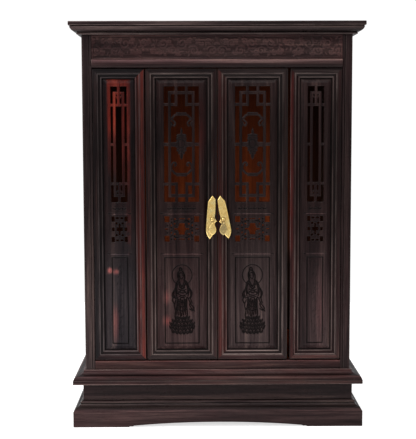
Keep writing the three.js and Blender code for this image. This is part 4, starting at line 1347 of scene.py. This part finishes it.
def pulls():
    """Half-butterfly plates, split-pin eyes on small collars, and the drops that hang from them."""
    for name, side, tilt in (("left_pull", -1, 3.5), ("right_pull", 1, 11)):
        pin_low, pin_high = box_mm(f"{name}_pin")
        pin_x = (pin_low[0] + pin_high[0]) / 2
        eye_z = (pin_low[2] + pin_high[2]) / 2
        plate_front = box_mm(f"{name}_plate")[0][1]
        mirror = Matrix.Scale(side, 4, (1, 0, 0))
        lean = Matrix.Rotation(math.radians(-side * tilt), 4, "Y")

        plate = brass_sheet(PLATE, {"height": 0, "radius": 1.5}, 0.1, 0.14)
        hung = Matrix.Translation((pin_x, plate_front, eye_z)) @ lean @ mirror
        bmesh.ops.transform(plate, matrix=hung, verts=plate.verts)
        finish_piece(f"{name}_plate", plate, "z", paint=rim_shade(plate_front, 0, (pin_x, eye_z)))

        drop = brass_sheet(DROP, DROP_HOLE, 0.22, 0.1)
        drop_low = box_mm(f"{name}_drop")[0]
        hung = Matrix.Translation((pin_x, drop_low[1], eye_z))
        bmesh.ops.transform(drop, matrix=hung, verts=drop.verts)
        # The right drop is darkened as a painted dark reflection; the left one has only a little tarnish.
        tarnish = 0.1 if side < 0 else 0.75
        finish_piece(f"{name}_drop", drop, "z", paint=rim_shade(drop_low[1], tarnish))

        finish_piece(f"{name}_pin", split_pin(pin_x, pin_low, pin_high, eye_z, plate_front), "x")


def rim_shade(front, tarnish=0.0, eye=None):
    """Painted shade behind the rounded rim and in a ring round the pin's eye; tarnish and a painted dark
    reflection dull the sheet.
    """
    def paint(place, finish):
        finish[:, 0] = tarnish
        finish[:, 2] = np.clip((place[:, 1] - front - 0.75) / 0.3, 0, 1) * 0.8
        if eye:
            away = np.hypot(place[:, 0] - eye[0], place[:, 2] - eye[1])
            ring = np.interp(away, (1.8, 2.1, 2.7, 3.2), (0.2, 1, 0.9, 0))
            finish[:, 2] = np.maximum(finish[:, 2], ring)
    return paint


def split_pin(pin_x, low, high, eye_z, plate_front):
    """A round eye standing in front, a domed collar on the plate, and the legs bent flat behind."""
    wire, radius = 0.6, 2.5
    eye_y = low[1] + radius + wire
    bm = bmesh.new()
    ring = bmesh.ops.create_circle(bm, segments=12, radius=wire)
    for axis in "XY":
        quarter = Matrix.Rotation(math.pi / 2, 3, axis)
        bmesh.ops.rotate(bm, verts=ring["verts"], cent=(0, 0, 0), matrix=quarter)
    bmesh.ops.translate(bm, verts=ring["verts"], vec=(pin_x, eye_y, eye_z + radius))
    bmesh.ops.rotate(bm, verts=ring["verts"], cent=(pin_x, eye_y, eye_z + radius),
                     matrix=Matrix.Rotation(math.pi / 2, 3, "Z"))
    bmesh.ops.spin(bm, geom=bm.verts[:] + bm.edges[:], cent=(pin_x, eye_y, eye_z), axis=(1, 0, 0),
                   angle=2 * math.pi, steps=28, use_merge=True)
    collar = bmesh.ops.create_uvsphere(bm, u_segments=20, v_segments=10, radius=1)
    squash = Matrix.Diagonal((1.9, 0.75, 1.9, 1))
    place = Matrix.Translation((pin_x, plate_front + 0.1, eye_z))
    bmesh.ops.transform(bm, matrix=place @ squash, verts=collar["verts"])
    shank_from, shank_to = eye_y + radius - 0.2, high[1] - 0.1
    turn = Matrix.Rotation(math.pi / 2, 4, "X")
    place = Matrix.Translation((pin_x, (shank_from + shank_to) / 2, eye_z))
    bmesh.ops.create_cone(bm, cap_ends=True, segments=14, radius1=0.85, radius2=0.85,
                          depth=shank_to - shank_from, matrix=place @ turn)
    legs = bmesh.ops.create_cube(bm, size=1)
    bmesh.ops.transform(bm, verts=legs["verts"],
                        matrix=Matrix.Translation((pin_x, high[1] - 0.4, eye_z))
                        @ Matrix.Diagonal((1.6, 0.76, high[2] - low[2], 1)))
    leg_edges = list({e for v in legs["verts"] for e in v.link_edges})
    bmesh.ops.bevel(bm, geom=leg_edges, offset=0.25, offset_type="OFFSET", segments=2, profile=0.5,
                    affect="EDGES", clamp_overlap=True, material=-1)
    return bm


# ------------------------------------------------------------------ assembly

FRAME_REDNESS = {
    "left_light": {"right_stile": 0.5, "bottom_rail": 0.1},
    "left_door": {"left_stile": 0.1, "right_stile": 0.1},
    "right_door": {"left_stile": 0.4, "bottom_rail": 0.1},
    "right_light": {"left_stile": 0.3, "right_stile": 0.1, "bottom_rail": 0.2},
}
FRAME_LIGHTNESS = {
    "left_light": {"top_rail": 0.6, "left_stile": 0.8},
    "left_door": {},
    "right_door": {"bottom_rail": 1.7},
    "right_light": {"bottom_rail": 1.2},
}

add_camera()
light_the_studio()
plain_boards()
back_board()
frieze()
for leaf_name in LEAVES:
    leaf_frame(leaf_name, FRAME_REDNESS[leaf_name], FRAME_LIGHTNESS[leaf_name])
    leaf_panel(leaf_name)
pulls()
